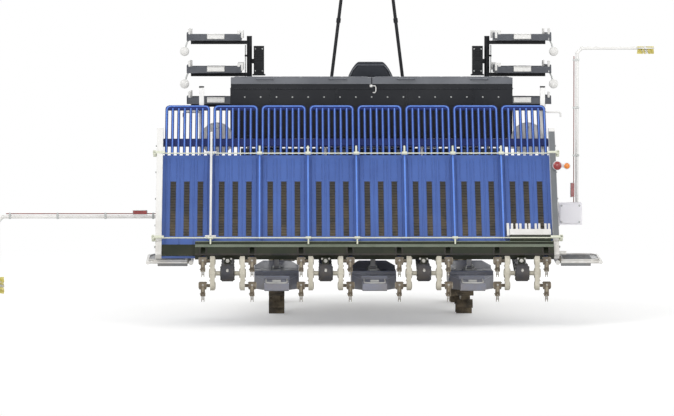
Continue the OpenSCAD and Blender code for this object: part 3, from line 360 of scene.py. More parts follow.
cast_grey = (
    Finish("cast_grey", (118, 120, 121), (92, 94, 95), 0.55, metallic=0.35, mottle=(6.0, 0.6))
    .soiled(0.75, 0.65, colour=DRY_SOIL).wear_and_sheen(BARE_STEEL, 0.6).skinned(220, 0.0006, 0.4).done())
engine_dark = (
    Finish("engine_dark", (62, 64, 66), (40, 41, 42), 0.55, metallic=0.3, mottle=(8.0, 0.6))
    .soiled(1.0, 0.35).wear_and_sheen(BARE_STEEL, 0.5).skinned(220, 0.0006, 0.4).done())
step_plastic = (
    Finish("step_plastic", (98, 101, 104), (78, 81, 84), 0.6, mottle=(4.0, 0.5))
    .soiled(0.95, 0.5, colour=DRY_SOIL).wear_and_sheen((150, 150, 148), 0.4).skinned(500, 0.0004).done())
dark_plastic = (
    Finish("dark_plastic", (32, 33, 36), (22, 24, 29), 0.5, mottle=(3.0, 0.5))
    .soiled(1.3, 0.18).wear_and_sheen((96, 98, 102), 0.4).skinned(520, 0.0003).done(specular_ior_level=0.25))
hopper_plastic = (
    Finish("hopper_plastic", (27, 29, 34), (18, 21, 28), 0.42, mottle=(2.2, 0.6))
    .wear_and_sheen((104, 106, 110), 0.5).skinned(450, 0.0003, 1.2).done(specular_ior_level=0.22))
seat_vinyl = (
    Finish("seat_vinyl", (30, 35, 44), (21, 25, 33), 0.4, mottle=(5.0, 0.5))
    .skinned(300, 0.0002, 0.5).pebbled(620, 0.00025).done(specular_ior_level=0.3))
lens_clear = (
    Finish("lens", (214, 220, 224), (190, 200, 206), 0.12, mottle=(20.0, 0.3))
    .done(coat_weight=0.6))
lug_rubber = (
    Finish("lug_rubber", (46, 45, 43), (32, 31, 30), 0.78, mottle=(9.0, 0.6))
    .soiled(1.0, 0.75, fade=0.8, colour=DRY_SOIL).skinned(340, 0.0006, 0.6, edge=0.003).done())
wheel_steel = (
    Finish("wheel_steel", (196, 192, 180), (170, 166, 154), 0.42, mottle=(5.0, 0.5))
    .soiled(0.9, 0.6, colour=DRY_SOIL).wear_and_sheen((110, 104, 96), 0.6).skinned(300, 0.0003)
    .done(coat_weight=0.15))
rod_chrome = (
    Finish("rod_chrome", (206, 208, 210), (184, 186, 188), 0.18, metallic=1.0, mottle=(30.0, 0.3))
    .done())
case_charcoal = (
    Finish("case_charcoal", (52, 54, 62), (36, 38, 46), 0.5, metallic=0.2, mottle=(7.0, 0.6))
    .soiled(0.55, 0.6, fade=0.4).wear_and_sheen((140, 140, 140), 0.6).skinned(240, 0.0005, 0.4).done())
float_grey = (
    Finish("float_grey", (122, 125, 138), (96, 100, 116), 0.4, mottle=(4.0, 0.5))
    .soiled(0.36, 0.6, fade=0.2, colour=(120, 108, 90)).wear_and_sheen((158, 160, 170), 0.5)
    .skinned(420, 0.0004).done(coat_weight=0.15))
gate_dark = (
    Finish("gate_dark", (40, 46, 34), (26, 31, 26), 0.45, mottle=(5.0, 0.6))
    .soiled(0.6, 0.3).wear_and_sheen((120, 124, 104), 0.6).skinned(300, 0.0003)
    .done(specular_ior_level=0.25))
alloy = (
    Finish("alloy", (198, 193, 178), (156, 150, 134), 0.42, metallic=0.15, mottle=(12.0, 0.5))
    .soiled(0.5, 0.4, fade=0.4).wear_and_sheen((240, 238, 230), 0.5).skinned(260, 0.0004, 0.3).done())
arm_grey = (
    Finish("arm_grey", (122, 112, 98), (78, 68, 58), 0.55, metallic=0.2, mottle=(26.0, 0.9))
    .soiled(0.55, 0.6, fade=0.4).wear_and_sheen((190, 184, 170), 0.7).skinned(240, 0.0005, 0.4).done())
zinc = (
    Finish("zinc", (176, 178, 176), (148, 150, 150), 0.4, metallic=0.8, mottle=(22.0, 0.6))
    .soiled(0.6, 0.4).skinned(320, 0.0002, 0.4).done())
lamp_red = (
    Finish("lamp_red", (150, 38, 36), (104, 24, 28), 0.2, mottle=(30.0, 0.4))
    .done(coat_weight=0.5))
lamp_amber = (
    Finish("lamp_amber", (226, 132, 40), (196, 104, 24), 0.2, mottle=(30.0, 0.4))
    .done(coat_weight=0.5))
pale_cream = (
    Finish("pale_cream", (222, 224, 206), (196, 200, 176), 0.42, mottle=(8.0, 0.4))
    .soiled(0.8, 0.25).wear_and_sheen((150, 150, 130), 0.4).skinned(400, 0.0002).done(coat_weight=0.1))
# Light blue beads on the slats and caps on the dividers' tops: painted highlights.
slat_highlight_blue = (
    Finish("slat_highlight_blue", (94, 138, 224), (72, 112, 204), 0.4, mottle=(5.0, 0.45))
    .wear_and_sheen((168, 186, 222), 0.4).skinned(700, 0.0002).done(coat_weight=0.1))
tray_grey = (
    Finish("tray_grey", (84, 87, 94), (58, 61, 68), 0.5, mottle=(5.0, 0.6))
    .wear_and_sheen((140, 142, 148), 0.5).skinned(420, 0.0003).done(coat_weight=0.05))
# Lighter than the hopper's plastic so the lids' tops look lit by the sky: a painted highlight; on the seat
# back's piping, a painted reflection.
sky_sheen_grey = (
    Finish("sky_sheen_grey", (92, 95, 102), (66, 70, 78), 0.42, mottle=(3.0, 0.6))
    .wear_and_sheen((150, 152, 156), 0.5).skinned(450, 0.0003, 1.2).done(coat_weight=0.12))
rail_light = (
    Finish("rail_light", (108, 116, 102), (78, 88, 70), 0.42, mottle=(8.0, 0.6))
    .soiled(0.6, 0.3).wear_and_sheen((150, 156, 138), 0.5).skinned(300, 0.0003).done(coat_weight=0.1))
# White paint as it looks in shade: painted shade, on the table's right side plate and the guard boards.
shaded_white_grey = (
    Finish("shaded_white_grey", (112, 115, 118), (88, 92, 96), 0.45, mottle=(4.0, 0.5))
    .soiled(0.7, 0.35, colour=DRY_SOIL).wear_and_sheen((190, 190, 194), 0.4).skinned(420, 0.0003)
    .done(coat_weight=0.08))
bright_bolt = (
    Finish("bright_bolt", (176, 174, 168), (120, 118, 112), 0.35, metallic=0.6, mottle=(40.0, 0.5))
    .skinned(320, 0.0002).done())
arm_beige = (
    Finish("arm_beige", (168, 158, 138), (112, 100, 84), 0.5, metallic=0.1, mottle=(30.0, 0.9))
    .soiled(0.5, 0.5, fade=0.4).wear_and_sheen((206, 200, 186), 0.6).skinned(240, 0.0005, 0.4).done())
float_light = (
    Finish("float_light", (150, 156, 172), (118, 124, 142), 0.42, mottle=(9.0, 0.5))
    .soiled(0.34, 0.4, fade=0.2).skinned(420, 0.0003).done(coat_weight=0.1))
float_pale = (
    Finish("float_pale", (190, 190, 186), (150, 150, 148), 0.42, mottle=(12.0, 0.6))
    .soiled(0.34, 0.4, fade=0.2).skinned(420, 0.0003).done(coat_weight=0.1))
star_yellow = (
    Finish("star_yellow", (226, 214, 128), (196, 180, 92), 0.45, mottle=(14.0, 0.6))
    .wear_and_sheen((200, 200, 190), 0.5).skinned(300, 0.0003).done(coat_weight=0.1))
rust_red = (
    Finish("rust_red", (138, 66, 52), (96, 42, 34), 0.5, mottle=(20.0, 0.7))
    .wear_and_sheen((160, 140, 130), 0.4).skinned(300, 0.0002).done())
dark_screen = (
    Finish("dark_screen", (22, 26, 28), (14, 16, 18), 0.1, mottle=(12.0, 0.3))
    .done(coat_weight=0.4))

NODES_IN = (
    (frame_grey, "chassis_frame front_guard lower_links upper_link lift_cylinder"),
    (cast_grey, "front_axle rear_axle gearbox metering_units knuckle_left knuckle_right"),
    (engine_dark, "engine_block"),
    (step_plastic, "step_floor"),
    (cover_white, "seat_deck receiver"),
    (dark_plastic, "dashboard rack_frames rack_trays guidance_arch steering_wheel"),
    (seat_vinyl, "seat_cushion seat_back"),
    (hopper_plastic, "hopper"),
    # The lids' lighter grey is a painted highlight.
    (sky_sheen_grey, "hopper_lid_left hopper_lid_right"),
    (lens_clear, "headlamps"),
    (blue_plastic, "bonnet table_board table_dividers"),
    (slat_shaded_navy, "table_slats"),
    (zinc, "tie_rod"),
    (lug_rubber, "front_tyre_left front_tyre_right rear_tyre_left rear_tyre_right"),
    (wheel_steel, "front_rim_left front_rim_right rear_rim_left rear_rim_right"),
    (rod_chrome, "lift_rod"),
    (white_paint, "planting_frame side_guards table_carrier table_sides marker_left marker_right"),
    (case_charcoal, "planting_cases"),
    (float_grey, "floats"),
    (gate_dark, "gate_rail"),
    (box_white, "marker_boxes"),
    (pale_cream, "mat_rods"),
    (alloy, "planting_rotors"),
    (arm_grey, "planting_arms_a planting_arms_b"),
)
for finish, names in NODES_IN:
    for name in names.split():
        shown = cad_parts[name].data
        shown.materials.clear()
        shown.materials.append(finish)

# The material slot for each finish of an added piece.
FINISHES_IN_SLOT = {
    "dark_plastic": (dark_plastic, hopper_plastic, sky_sheen_grey, tray_grey),
    "white_paint": (white_paint, pale_cream, star_yellow),
    "cover_white": (cover_white, box_white, shaded_white_grey),
    "blue_plastic": (blue_plastic, slat_highlight_blue),
    "gate_dark": (gate_dark, rail_light),
    "float_grey": (float_grey, float_light, float_pale),
    "zinc": (zinc, bright_bolt, rust_red),
    "lens": (lens_clear, lamp_red, lamp_amber, dark_screen),
    "arm_grey": (arm_grey, arm_beige),
    "alloy": (alloy,),
    "case_charcoal": (case_charcoal,),
    "cast_grey": (cast_grey,),
    "engine_dark": (engine_dark,),
    "frame_grey": (frame_grey,),
    "lug_rubber": (lug_rubber,),
    "rod_chrome": (rod_chrome,),
    "seat_vinyl": (seat_vinyl,),
    "step_plastic": (step_plastic,),
    "wheel_steel": (wheel_steel,),
}
SLOT_OF = {finish.name: slot for slot, finishes in FINISHES_IN_SLOT.items() for finish in finishes}


# Making pieces

def round_turn(count, start=0.0):
    """Angles in radians, evenly round a full turn from start degrees."""
    return [math.radians(start + 360 * i / count) for i in range(count)]


class Form:
    """A mesh gathered from simple parts, in millimetres."""

    def __init__(self, turn=None):
        """Turn, where it is given, takes the corners of the form's blocks to their places."""
        self.bm, self.turn = bmesh.new(), turn

    def hull_of(self, rings, caps=True):
        """Joins rings of as many points each, one after the other, into a skin."""
        rows = [[self.bm.verts.new(p) for p in ring] for ring in rings]
        n = len(rows[0])
        for a, b in zip(rows, rows[1:]):
            for i in range(n):
                self.bm.faces.new((a[i], a[(i + 1) % n], b[(i + 1) % n], b[i]))
        if caps:
            self.bm.faces.new(list(reversed(rows[0])))
            self.bm.faces.new(rows[-1])
        return self

    def block(self, low, high):
        """A box between two opposite corners."""
        (x0, y0, z0), (x1, y1, z1) = low, high
        rings = [[(x0, y0, z), (x1, y0, z), (x1, y1, z), (x0, y1, z)] for z in (z0, z1)]
        if self.turn:
            rings = [[self.turn(*p) for p in ring] for ring in rings]
        return self.hull_of(rings)

    def rod(self, a, b, r, sides=16):
        a, b = Vector(a), Vector(b)
        along = (b - a).normalized()
        across = along.orthogonal().normalized()
        up = along.cross(across)
        rings = []
        for centre in (a, b):
            rings.append([centre + r * (across * math.cos(t) + up * math.sin(t)) for t in round_turn(sides)])
        return self.hull_of(rings)

    def turned(self, profile, centre, axis, sides=32):
        """A body turned round an axis; profile gives (distance along, radius)."""
        axis = Vector(axis).normalized()
        across = axis.orthogonal().normalized()
        up = axis.cross(across)
        rings = [[Vector(centre) + axis * along + radius * (across * math.cos(t) + up * math.sin(t))
                  for t in round_turn(sides)] for along, radius in profile]
        return self.hull_of(rings)

    def prism(self, points, x0, x1):
        """A side view in (y, z), made solid from x0 to x1."""
        return self.hull_of([[(x, y, z) for y, z in points] for x in (x0, x1)])

    def bolts(self, places, axis, across_flats, head):
        for place in places:
            self.bolt(place, axis, across_flats, head)
        return self

    def tube(self, path, r, sides=10, closed=False):
        """A round bar along a path."""
        path = [Vector(p) for p in path]
        n = len(path)
        rings, normal = [], None
        for i, p in enumerate(path):
            before = path[i - 1] if (i or closed) else p
            after = path[(i + 1) % n] if (i < n - 1 or closed) else p
            along = (after - before).normalized()
            if normal is None:
                normal = along.orthogonal().normalized()
            normal = (normal - along * normal.dot(along)).normalized()
            side = along.cross(normal)
            rings.append([p + r * (normal * math.cos(t) + side * math.sin(t)) for t in round_turn(sides)])
        if closed:
            rings.append(rings[0])
            return self.hull_of(rings, caps=False)
        return self.hull_of(rings)

    def bolt(self, place, axis, across_flats=16, head=8):
        """A hexagon head with its washer."""
        axis = Vector(axis).normalized()
        place = Vector(place)
        self.rod(place, place + axis * 2, across_flats * 0.78, 16)
        return self.rod(place + axis * 2, place + axis * (2 + head), across_flats * 0.577, 6)

    def piece(self, name, body, finish, bevel=0.0, slot=None, replaces=(), smooth=40, subdivide=0):
        """Makes the object, in metres, on its body; its slot, the finish's own where none is given, is
        worked out but not used.
        """
        bmesh.ops.remove_doubles(self.bm, verts=self.bm.verts, dist=0.001)
        bmesh.ops.recalc_face_normals(self.bm, faces=self.bm.faces)
        for v in self.bm.verts:
            v.co = metres(*v.co)
        mesh = bpy.data.meshes.new(name)
        self.bm.to_mesh(mesh)
        self.bm.free()
        made = bpy.data.objects.new(name, mesh)
        bpy.context.scene.collection.objects.link(made)
        mesh.materials.append(finish)
        for face in mesh.polygons:
            face.use_smooth = True
        mesh.set_sharp_from_angle(angle=math.radians(smooth))
        if bevel:
            edge = made.modifiers.new("edges", "BEVEL")
            edge.width, edge.segments, edge.limit_method = bevel / 1000, 2, "ANGLE"
            edge.angle_limit = math.radians(35)
            # Large flat faces stay flat in the shading beside their rounded edges.
            made.modifiers.new("flat_faces", "WEIGHTED_NORMAL").keep_sharp = True
        if subdivide:
            rounding = made.modifiers.new("rounding", "SUBSURF")
            rounding.levels = rounding.render_levels = subdivide
        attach(made, body)
        slot = SLOT_OF[finish.name] if slot is None else slot
        if replaces:
            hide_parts(*replaces)
        return made


def arc(centre, radius, start, stop, count):
    """Points (u, v) on an arc, in degrees."""
    return [(centre[0] + radius * math.cos(math.radians(start + (stop - start) * i / (count - 1))),
             centre[1] + radius * math.sin(math.radians(start + (stop - start) * i / (count - 1))))
            for i in range(count)]


def circle(centre, radius, count, start=0.0, plane="yz"):
    """Places evenly round a circle that lies in the plane of two of the axes."""
    first, second = ("xyz".index(letter) for letter in plane)
    places = [Vector(centre) for _ in range(count)]
    for place, angle in zip(places, round_turn(count, start)):
        place[first] += radius * math.cos(angle)
        place[second] += radius * math.sin(angle)
    return places


# Seat

CUSHION_LOW, CUSHION_HIGH = (-222, -42, 1042), (222, 372, 1110)
CUSHION_MIDDLE = (0, 165, 0)
# The cushion is shaped after it is made, so these are metres.
MOST_SWELL = 0.026
CORNER_RADIUS = 0.06
CROWN_HALF_X, CROWN_HALF_Y = 0.235, 0.22
CROWN, TOP_UNDER_CROWN = 0.012, 1.1232
CHANNEL_X, CHANNEL_Y, CHANNEL_WIDTH = 0.105, -0.09, 0.008


def make_seat_cushion():
    """A crowned cushion whose sides pull in, swelled as cloth from a smaller block."""
    form = Form().block(CUSHION_LOW, CUSHION_HIGH)
    made = form.piece("seat_cushion_cover", "chassis", seat_vinyl, replaces=("seat_cushion",))
    remesh = made.modifiers.new("remesh", "REMESH")
    remesh.mode, remesh.voxel_size = "VOXEL", 0.006
    apply_modifiers(made)
    rest = [v.co.copy() for v in made.data.vertices]
    swell(made, pressure=4.0, frames=20)
    middle = metres(*CUSHION_MIDDLE)
    for v, home in zip(made.data.vertices, rest):
        moved = v.co - home
        if moved.length > MOST_SWELL:
            v.co = home + moved.normalized() * MOST_SWELL
        carve(v, home, home.x - middle.x, home.y - middle.y)
    half_x, half_y = ((high - low) / 2000 for low, high in zip(CUSHION_LOW[:2], CUSHION_HIGH[:2]))
    corner_round(made, middle, half_x, half_y, CORNER_RADIUS)
    made.data.update()
    made.modifiers.new("smooth", "SUBSURF").render_levels = 1


def carve(v, home, x, y):
    """Gives a point of the cushion its crown and its sewn channels; x and y are from the middle."""
    inner = max(0.0, 1 - (x / CROWN_HALF_X) ** 4) * max(0.0, 1 - (y / CROWN_HALF_Y) ** 4)
    if home.z > CUSHION_HIGH[2] / 1000 - CROWN:
        v.co.z = min(v.co.z, TOP_UNDER_CROWN) + CROWN * inner
        for seam in (-CHANNEL_X, CHANNEL_X):
            v.co.z -= 0.01 * math.exp(-((x - seam) / CHANNEL_WIDTH) ** 2) * inner
        if abs(x) < CHANNEL_X:
            v.co.z -= 0.009 * math.exp(-((y - CHANNEL_Y) / CHANNEL_WIDTH) ** 2) * inner
    v.co.z = max(CUSHION_LOW[2] / 1000, min(v.co.z, TOP_UNDER_CROWN + CROWN))


def corner_round(made, centre, half_x, half_y, radius):
    """Pulls the four upright corners in to a radius."""
    limit = radius * 1.06
    for v in made.data.vertices:
        dx, dy = v.co.x - centre.x, v.co.y - centre.y
        ox, oy = abs(dx) - (half_x - radius), abs(dy) - (half_y - radius)
        reach = math.hypot(ox, oy)
        if ox > 0 and oy > 0 and reach > limit:
            v.co.x = centre.x + math.copysign(half_x - radius + ox * limit / reach, dx)
            v.co.y = centre.y + math.copysign(half_y - radius + oy * limit / reach, dy)


def apply_modifiers(made):
    evaluated = made.evaluated_get(bpy.context.evaluated_depsgraph_get())
    mesh = bpy.data.meshes.new_from_object(evaluated)
    made.modifiers.clear()
    made.data = mesh


def swell(made, pressure, frames):
    """Blows a closed mesh up as cloth and keeps the result."""
    cloth = made.modifiers.new("cloth", "CLOTH")
    cloth.settings.quality = 6
    cloth.settings.use_pressure = True
    cloth.settings.uniform_pressure_force = pressure
    cloth.settings.tension_stiffness = cloth.settings.compression_stiffness = 12
    cloth.settings.effector_weights.gravity = 0
    cloth.point_cache.frame_end = frames
    for number in range(1, frames + 1):
        bpy.context.scene.frame_set(number)
    # The foam under the cover keeps it from creasing.
    settle = made.modifiers.new("settle", "SMOOTH")
    settle.factor, settle.iterations = 0.5, 30
    apply_modifiers(made)
    bpy.context.scene.frame_set(1)


# Height, half width and half depth of the seat back, from its foot up
BACK_SECTIONS = [(1168, 178, 24), (1180, 196, 30), (1230, 204, 30), (1330, 192, 30), (1430, 172, 30),
                 (1515, 147, 30), (1570, 118, 30), (1600, 94, 26), (1612, 78, 14)]
BACK_Y = -93


def make_seat_back():
    """A padded back, narrow at its top, on two straps."""
    rings = []
    for z, half, deep in BACK_SECTIONS:
        ring = []
        for t in round_turn(28):
            c, s = math.cos(t), math.sin(t)
            x = half * math.copysign(abs(c) ** 0.38, c)
            y = BACK_Y + deep * math.copysign(abs(s) ** 0.55, s)
            if s > 0:
                # The front is a little hollow.
                y -= 0.000132 * (half ** 2 - x ** 2)
            ring.append((x, y, z))
        rings.append(ring)
    form = Form().hull_of(rings)
    for x in (-90, 90):
        form.block((x - 15, -99, 1041), (x + 15, -85, 1176))
    back = form.piece("seat_back_cover", "chassis", seat_vinyl, bevel=6, replaces=("seat_back",), smooth=50,
                      subdivide=1)


# Light grey piping round the seat back's top: a painted reflection of the sky on its edge.
def make_seat_sheen_piping():
    half = [(84, 1590), (112, 1560), (140, 1500), (168, 1370), (184, 1240), (176, 1196)]
    outline = [(-x, z) for x, z in reversed(half)] + half
    trim = Form().tube([(x, -121, z) for x, z in outline], 3.4, 8, closed=True)
    trim.piece("seat_back_sheen_piping", "chassis", sky_sheen_grey, slot="")


make_seat_cushion()
make_seat_back()
make_seat_sheen_piping()


# Racks

def add_tray(trays, x0, x1, z):
    """A floor of lengthways slats over cross bars, inside a rim with a rolled lip and ribs."""
    y0, y1 = TRAY_Y
    wall, side_top, end_top = 6, z + 52, z + 40
    for x in spread(x0 + 22, x1 - 22, 9):
        trays.block((x - 12, y0 + wall, z), (x + 12, y1 - wall, z + 6))
    for y in spread(y0 + 40, y1 - 40, 6):
        trays.block((x0 + 4, y - 9, z + 0.6), (x1 - 4, y + 9, z + 7.4))
    for x in (x0, x1 - wall):
        trays.block((x, y0, z), (x + wall, y1, side_top))
    for y in (y0, y1 - wall):
        trays.block((x0, y, z), (x1, y + wall, end_top))
    for x in (x0 + 4, x1 - 4):
        trays.tube([(x, y0 + 3, side_top - 1), (x, y1 - 3, side_top - 1)], 4, 10)
    for y in (y0 + 4, y1 - 4):
        trays.tube([(x0 + 5, y, end_top - 1), (x1 - 5, y, end_top - 1)], 4, 10)
    for i in range(7):
        y = y0 + 60 + 86 * i
        for x in (x0, x1):
            trays.block((x - 2.5, y - 4, z + 5), (x + 2.5, y + 4, z + 48))


def add_tray_ends(grips, posts, s, z):
    """A pale grip plate with a rolled edge on each end wall, with a post and a stop beside it."""
    cx, post_x, stop_x = s * (RACK_X - 12), s * 1164, s * 834
    for y, out in zip(TRAY_Y, SIDES):
        face, post_y, stop_y = y + 4 * out, y - 9 * out, y - 7 * out
        grips.block((cx - 57, y, z + 11), (cx + 57, face, z + 42))
        corners = ((-56, 12), (56, 12), (56, 41), (-56, 41))
        grips.tube([(cx + dx, face, z + dz) for dx, dz in corners], 3.2, 8, closed=True)
        posts.rod((post_x, post_y, z + 4), (post_x, post_y, z + 76), 8.5, 14)
        posts.turned([(0, 8.5), (3, 8), (5, 4)], (post_x, post_y, z + 76), UP, 14)
        posts.block((stop_x - 19, stop_y - 6, z + 16), (stop_x + 19, stop_y + 6, z + 66))


def add_rack_box(boxes, screws, s):
    """The dark box beside the upright, with its cover, grille and screws."""
    x = s * BOX_X
    boxes.block((x - 27, 596, 1542), (x + 27, 601, 1694))
    boxes.block((x - 21, 593.5, 1552), (x + 21, 597, 1600))
    boxes.block((x - 42, 592, 1516), (x + 42, 688, 1526))
    for i in range(5):
        boxes.block((x - 20, 594, 1616 + 14 * i), (x + 20, 597, 1622 + 14 * i))
    screws.bolts([(x + dx, 596, z) for dx in (-23, 23) for z in (1546, 1690)], BEHIND, 6, 2)


def make_racks():
    trays, grips, posts, knobs, arms, boxes, screws = (Form() for _ in range(7))
    for s in SIDES:
        for z in TRAY_Z:
            add_tray(trays, s * RACK_X - TRAY_HALF, s * RACK_X + TRAY_HALF, z)
            add_tray_ends(grips, posts, s, z)
        for z in TRAY_Z[1:]:
            # A lever with a round white knob, under the tray's outer edge.
            arms.tube([(s * 1168, 338, z + 10), (s * 1182, 330, z - 20), (s * KNOB_X, 327, z - 66)], 5, 10)
            knobs.turned([(0, 10), (-3, 25), (-9, 30), (-17, 30), (-23, 25), (-26, 12)],
                         (s * KNOB_X, 328, z - 70), AHEAD, 28)
        add_rack_box(boxes, screws, s)
        # A thin control rod beside the upright, held by clips.
        arms.tube([(s * CONTROL_ROD_X, UPRIGHT_Y, 600), (s * CONTROL_ROD_X, UPRIGHT_Y, 1716)], 3.5, 10)
        for z in (700, 900, 1100, 1280, 1480, 1640):
            boxes.block((s * CLIP_X - 20, UPRIGHT_Y - 8, z), (s * CLIP_X + 20, UPRIGHT_Y + 8, z + 12))
        # Foot flange of the upright.
        foot_x, foot_z = s * UPRIGHT_X, 582
        screws.rod((foot_x, UPRIGHT_Y, foot_z - 10), (foot_x, UPRIGHT_Y, foot_z), 32, 28)
        screws.bolts([(foot_x + dx, UPRIGHT_Y, foot_z) for dx in (-24, 24)], UP, 8, 5)
    trays.piece("rack_tray_grids", "chassis", tray_grey, bevel=1.2, replaces=("rack_trays",))
    grips.piece("rack_grip_plates", "chassis", white_paint, bevel=1.2)
    posts.piece("rack_mat_stops", "chassis", white_paint, bevel=1.5)
    knobs.piece("rack_knobs", "chassis", white_paint)
    arms.piece("rack_levers", "chassis", zinc)
    boxes.piece("rack_box_covers", "chassis", dark_plastic, bevel=1.5)
    screws.piece("rack_fasteners", "chassis", zinc)


make_racks()


# Arch and receiver

def make_receiver():
    base = (0, ARCH_Y, ARCH_PLATE_Z)
    dome = Form().turned([(4, 78), (6, 84), (24, 84.5), (26, 81), (28, 81), (30, 84), (36, 82), (41, 74),
                          (44.5, 58), (46.8, 34), (47.6, 6)], base, UP, 64)
    dome.piece("receiver_dome", "chassis", cover_white, replaces=("receiver",))
    band = Form().turned([(0, 70), (1, 76), (4.5, 76), (5, 70)], base, UP, 48)
    band.turned([(25.6, 80.5), (25.6, 83.2), (28.4, 83.2), (28.4, 80.5)], base, UP, 64)
    band.piece("receiver_seal", "chassis", dark_plastic)


def make_arch_details():
    fittings, bolts = Form(), Form()
    for s in SIDES:
        # End caps of the cross tube, and collars up the legs.
        cap = [(0, 14.6), (3, 14.6), (6, 11), (7, 5)]
        fittings.turned(cap, (s * 146, ARCH_Y, ARCH_TOP_Z), (s, 0, 0), 24)
        foot = Vector((s * ARCH_FOOT_X, ARCH_Y, FLOOR_Z + 5))
        top = Vector((s * ARCH_TOP_X, ARCH_Y, ARCH_TOP_Z))
        for t in (0.02, 0.36, 0.68):
            fittings.rod(foot.lerp(top, t), foot.lerp(top, t + 0.018), 15, 20)
        bolts.bolts([(s * 40, ARCH_Y + dy, ARCH_PLATE_Z) for dy in (-26, 26)], UP, 8, 4)
        bolts.bolts([foot + Vector((dx, dy, 5)) for dx in (-20, 20) for dy in (-20, 20)], UP, 10, 6)
        bolts.bolt((s * 236, 994, 1474), BEHIND, 8, 4)
    fittings.piece("arch_fittings", "chassis", dark_plastic, bevel=1)
    bolts.piece("arch_bolts", "chassis", zinc)


make_receiver()
make_arch_details()


# Hopper

def make_hopper_details():
    ribs, studs, latch = Form(), Form(), Form()
    for x in spread(-800, 800, 17):
        studs.turned([(0, 5), (-2, 5), (-3.2, 3)], (x, HOPPER_REAR + 0.5, 1391), AHEAD, 12)
    ribs.block((-HOPPER_HALF, HOPPER_REAR - 5, 1440), (HOPPER_HALF, HOPPER_REAR + 1, 1448))
    ribs.block((-HOPPER_HALF, HOPPER_REAR - 3, 1140), (HOPPER_HALF, HOPPER_REAR + 1, 1152))
    for x in (-640, -220, 220, 640):
        ribs.block((x - 5, HOPPER_REAR - 4, 1150), (x + 5, HOPPER_REAR + 1, 1441))
        ribs.block((x - 5, HOPPER_FRONT - 1, 1150), (x + 5, HOPPER_FRONT + 4, 1441))
    for x in (-889, 889):
        for y in (-400, -260):
            ribs.block((x - 3, y - 5, 1150), (x + 3, y + 5, 1441))
        ribs.block((x - 3, HOPPER_REAR, 1440), (x + 3, HOPPER_FRONT, 1448))
    ribs.piece("hopper_ribs", "chassis", hopper_plastic, bevel=1.5)
    studs.piece("hopper_studs", "chassis", zinc)
    latch.tube([(-8, -486, 1462), (22, -487, 1462), (26, -487, 1452), (26, -487, 1428), (20, -487, 1420),
                (6, -487, 1420)], 3.4, 8)
    latch.block((-12, -487, 1454), (4, -480, 1470))
    latch.piece("hopper_latch", "chassis", white_paint, bevel=1)


def make_lid_details(side, middle):
    lid = Form()
    for x in spread(middle - 390, middle + 390, 7):
        lid.block((x - 5, -466, 1514), (x + 5, -196, 1518))
    corners = ((-420, -472), (420, -472), (420, -190), (-420, -190))
    lid.tube([(middle + dx, y, 1515) for dx, y in corners], 3.5, 8, closed=True)
    half = ((-52, -486, 1504), (-50, -503, 1505), (-42, -508, 1505))
    handle = list(half) + [(-dx, y, z) for dx, y, z in reversed(half)]
    for x in (middle - 230, middle + 230):
        lid.tube([(x + dx, y, z) for dx, y, z in handle], 5)
    # The lids' grips and ribs share their light grey, a painted highlight.
    lid.piece("lid_grips_" + side, "lid_" + side, sky_sheen_grey, bevel=1)


def make_metering_details():
    covers, shaft = Form(), Form()
    cover = [(0, 44), (-6, 44), (-9, 38), (-10, 18), (-16, 16), (-17, 8)]
    for x in METERING_X:
        covers.turned(cover, (x, -420, 1010), AHEAD, 32)
        covers.block((x - 48, -424, 964), (x + 48, -419, 974))
        covers.bolts(circle((x, -429, 1010), 36, 4, 45, plane="xz"), BEHIND, 6, 3)
        for y in (-350, -260):
            covers.block((x - 58, y - 6, 962), (x + 58, y + 6, 1056))
    covers.piece("metering_covers", "chassis", cast_grey, bevel=1)
    y, z = METERING_SHAFT
    shaft.rod((-700, y, z), (700, y, z), 8, 6)
    for x in (-690, -420, 0, 420, 690):
        shaft.rod((x - 14, y, z), (x + 14, y, z), 14, 20)
        shaft.rod((x - 9, -370, 935), (x + 9, -370, 935), 38, 32)
    shaft.piece("metering_shaft", "chassis", zinc, bevel=0.8)


make_hopper_details()
make_lid_details("left", -LID_MIDDLE)
make_lid_details("right", LID_MIDDLE)
make_metering_details()


# Seedling table

ROW_EDGES = [i * ROW_PITCH - TABLE_HALF for i in range(ROW_COUNT + 1)]
ROW_MIDDLES = [x + ROW_PITCH / 2 for x in ROW_EDGES[:-1]]


def make_slat_highlight_beads():
    """A light bead down each slat, and one that loops round the head of each row: painted highlights on the
    slats' edges.
    """
    beads = Form()
    side, radius, foot, head = 131.25, 26, 764, 1139
    for cx in ROW_MIDDLES:
        # The outer two are part of the loop.
        for x in spread(cx - side, cx + side, 8)[1:-1]:
            beads.tube([table_point(x, along, -1.2) for along in (foot, head - 17)], 4, 8)
        path = [(cx - side, foot), (cx - side, head - radius)]
        path += arc((cx - side + radius, head - radius), radius, 180, 90, 6)[1:]
        path += arc((cx + side - radius, head - radius), radius, 90, 0, 6)
        path += [(cx + side, foot)]
        beads.tube([table_point(x, along, -1.2) for x, along in path], 4.4, 8)
    beads.piece("slat_highlight_beads", "seedling_table", slat_highlight_blue)


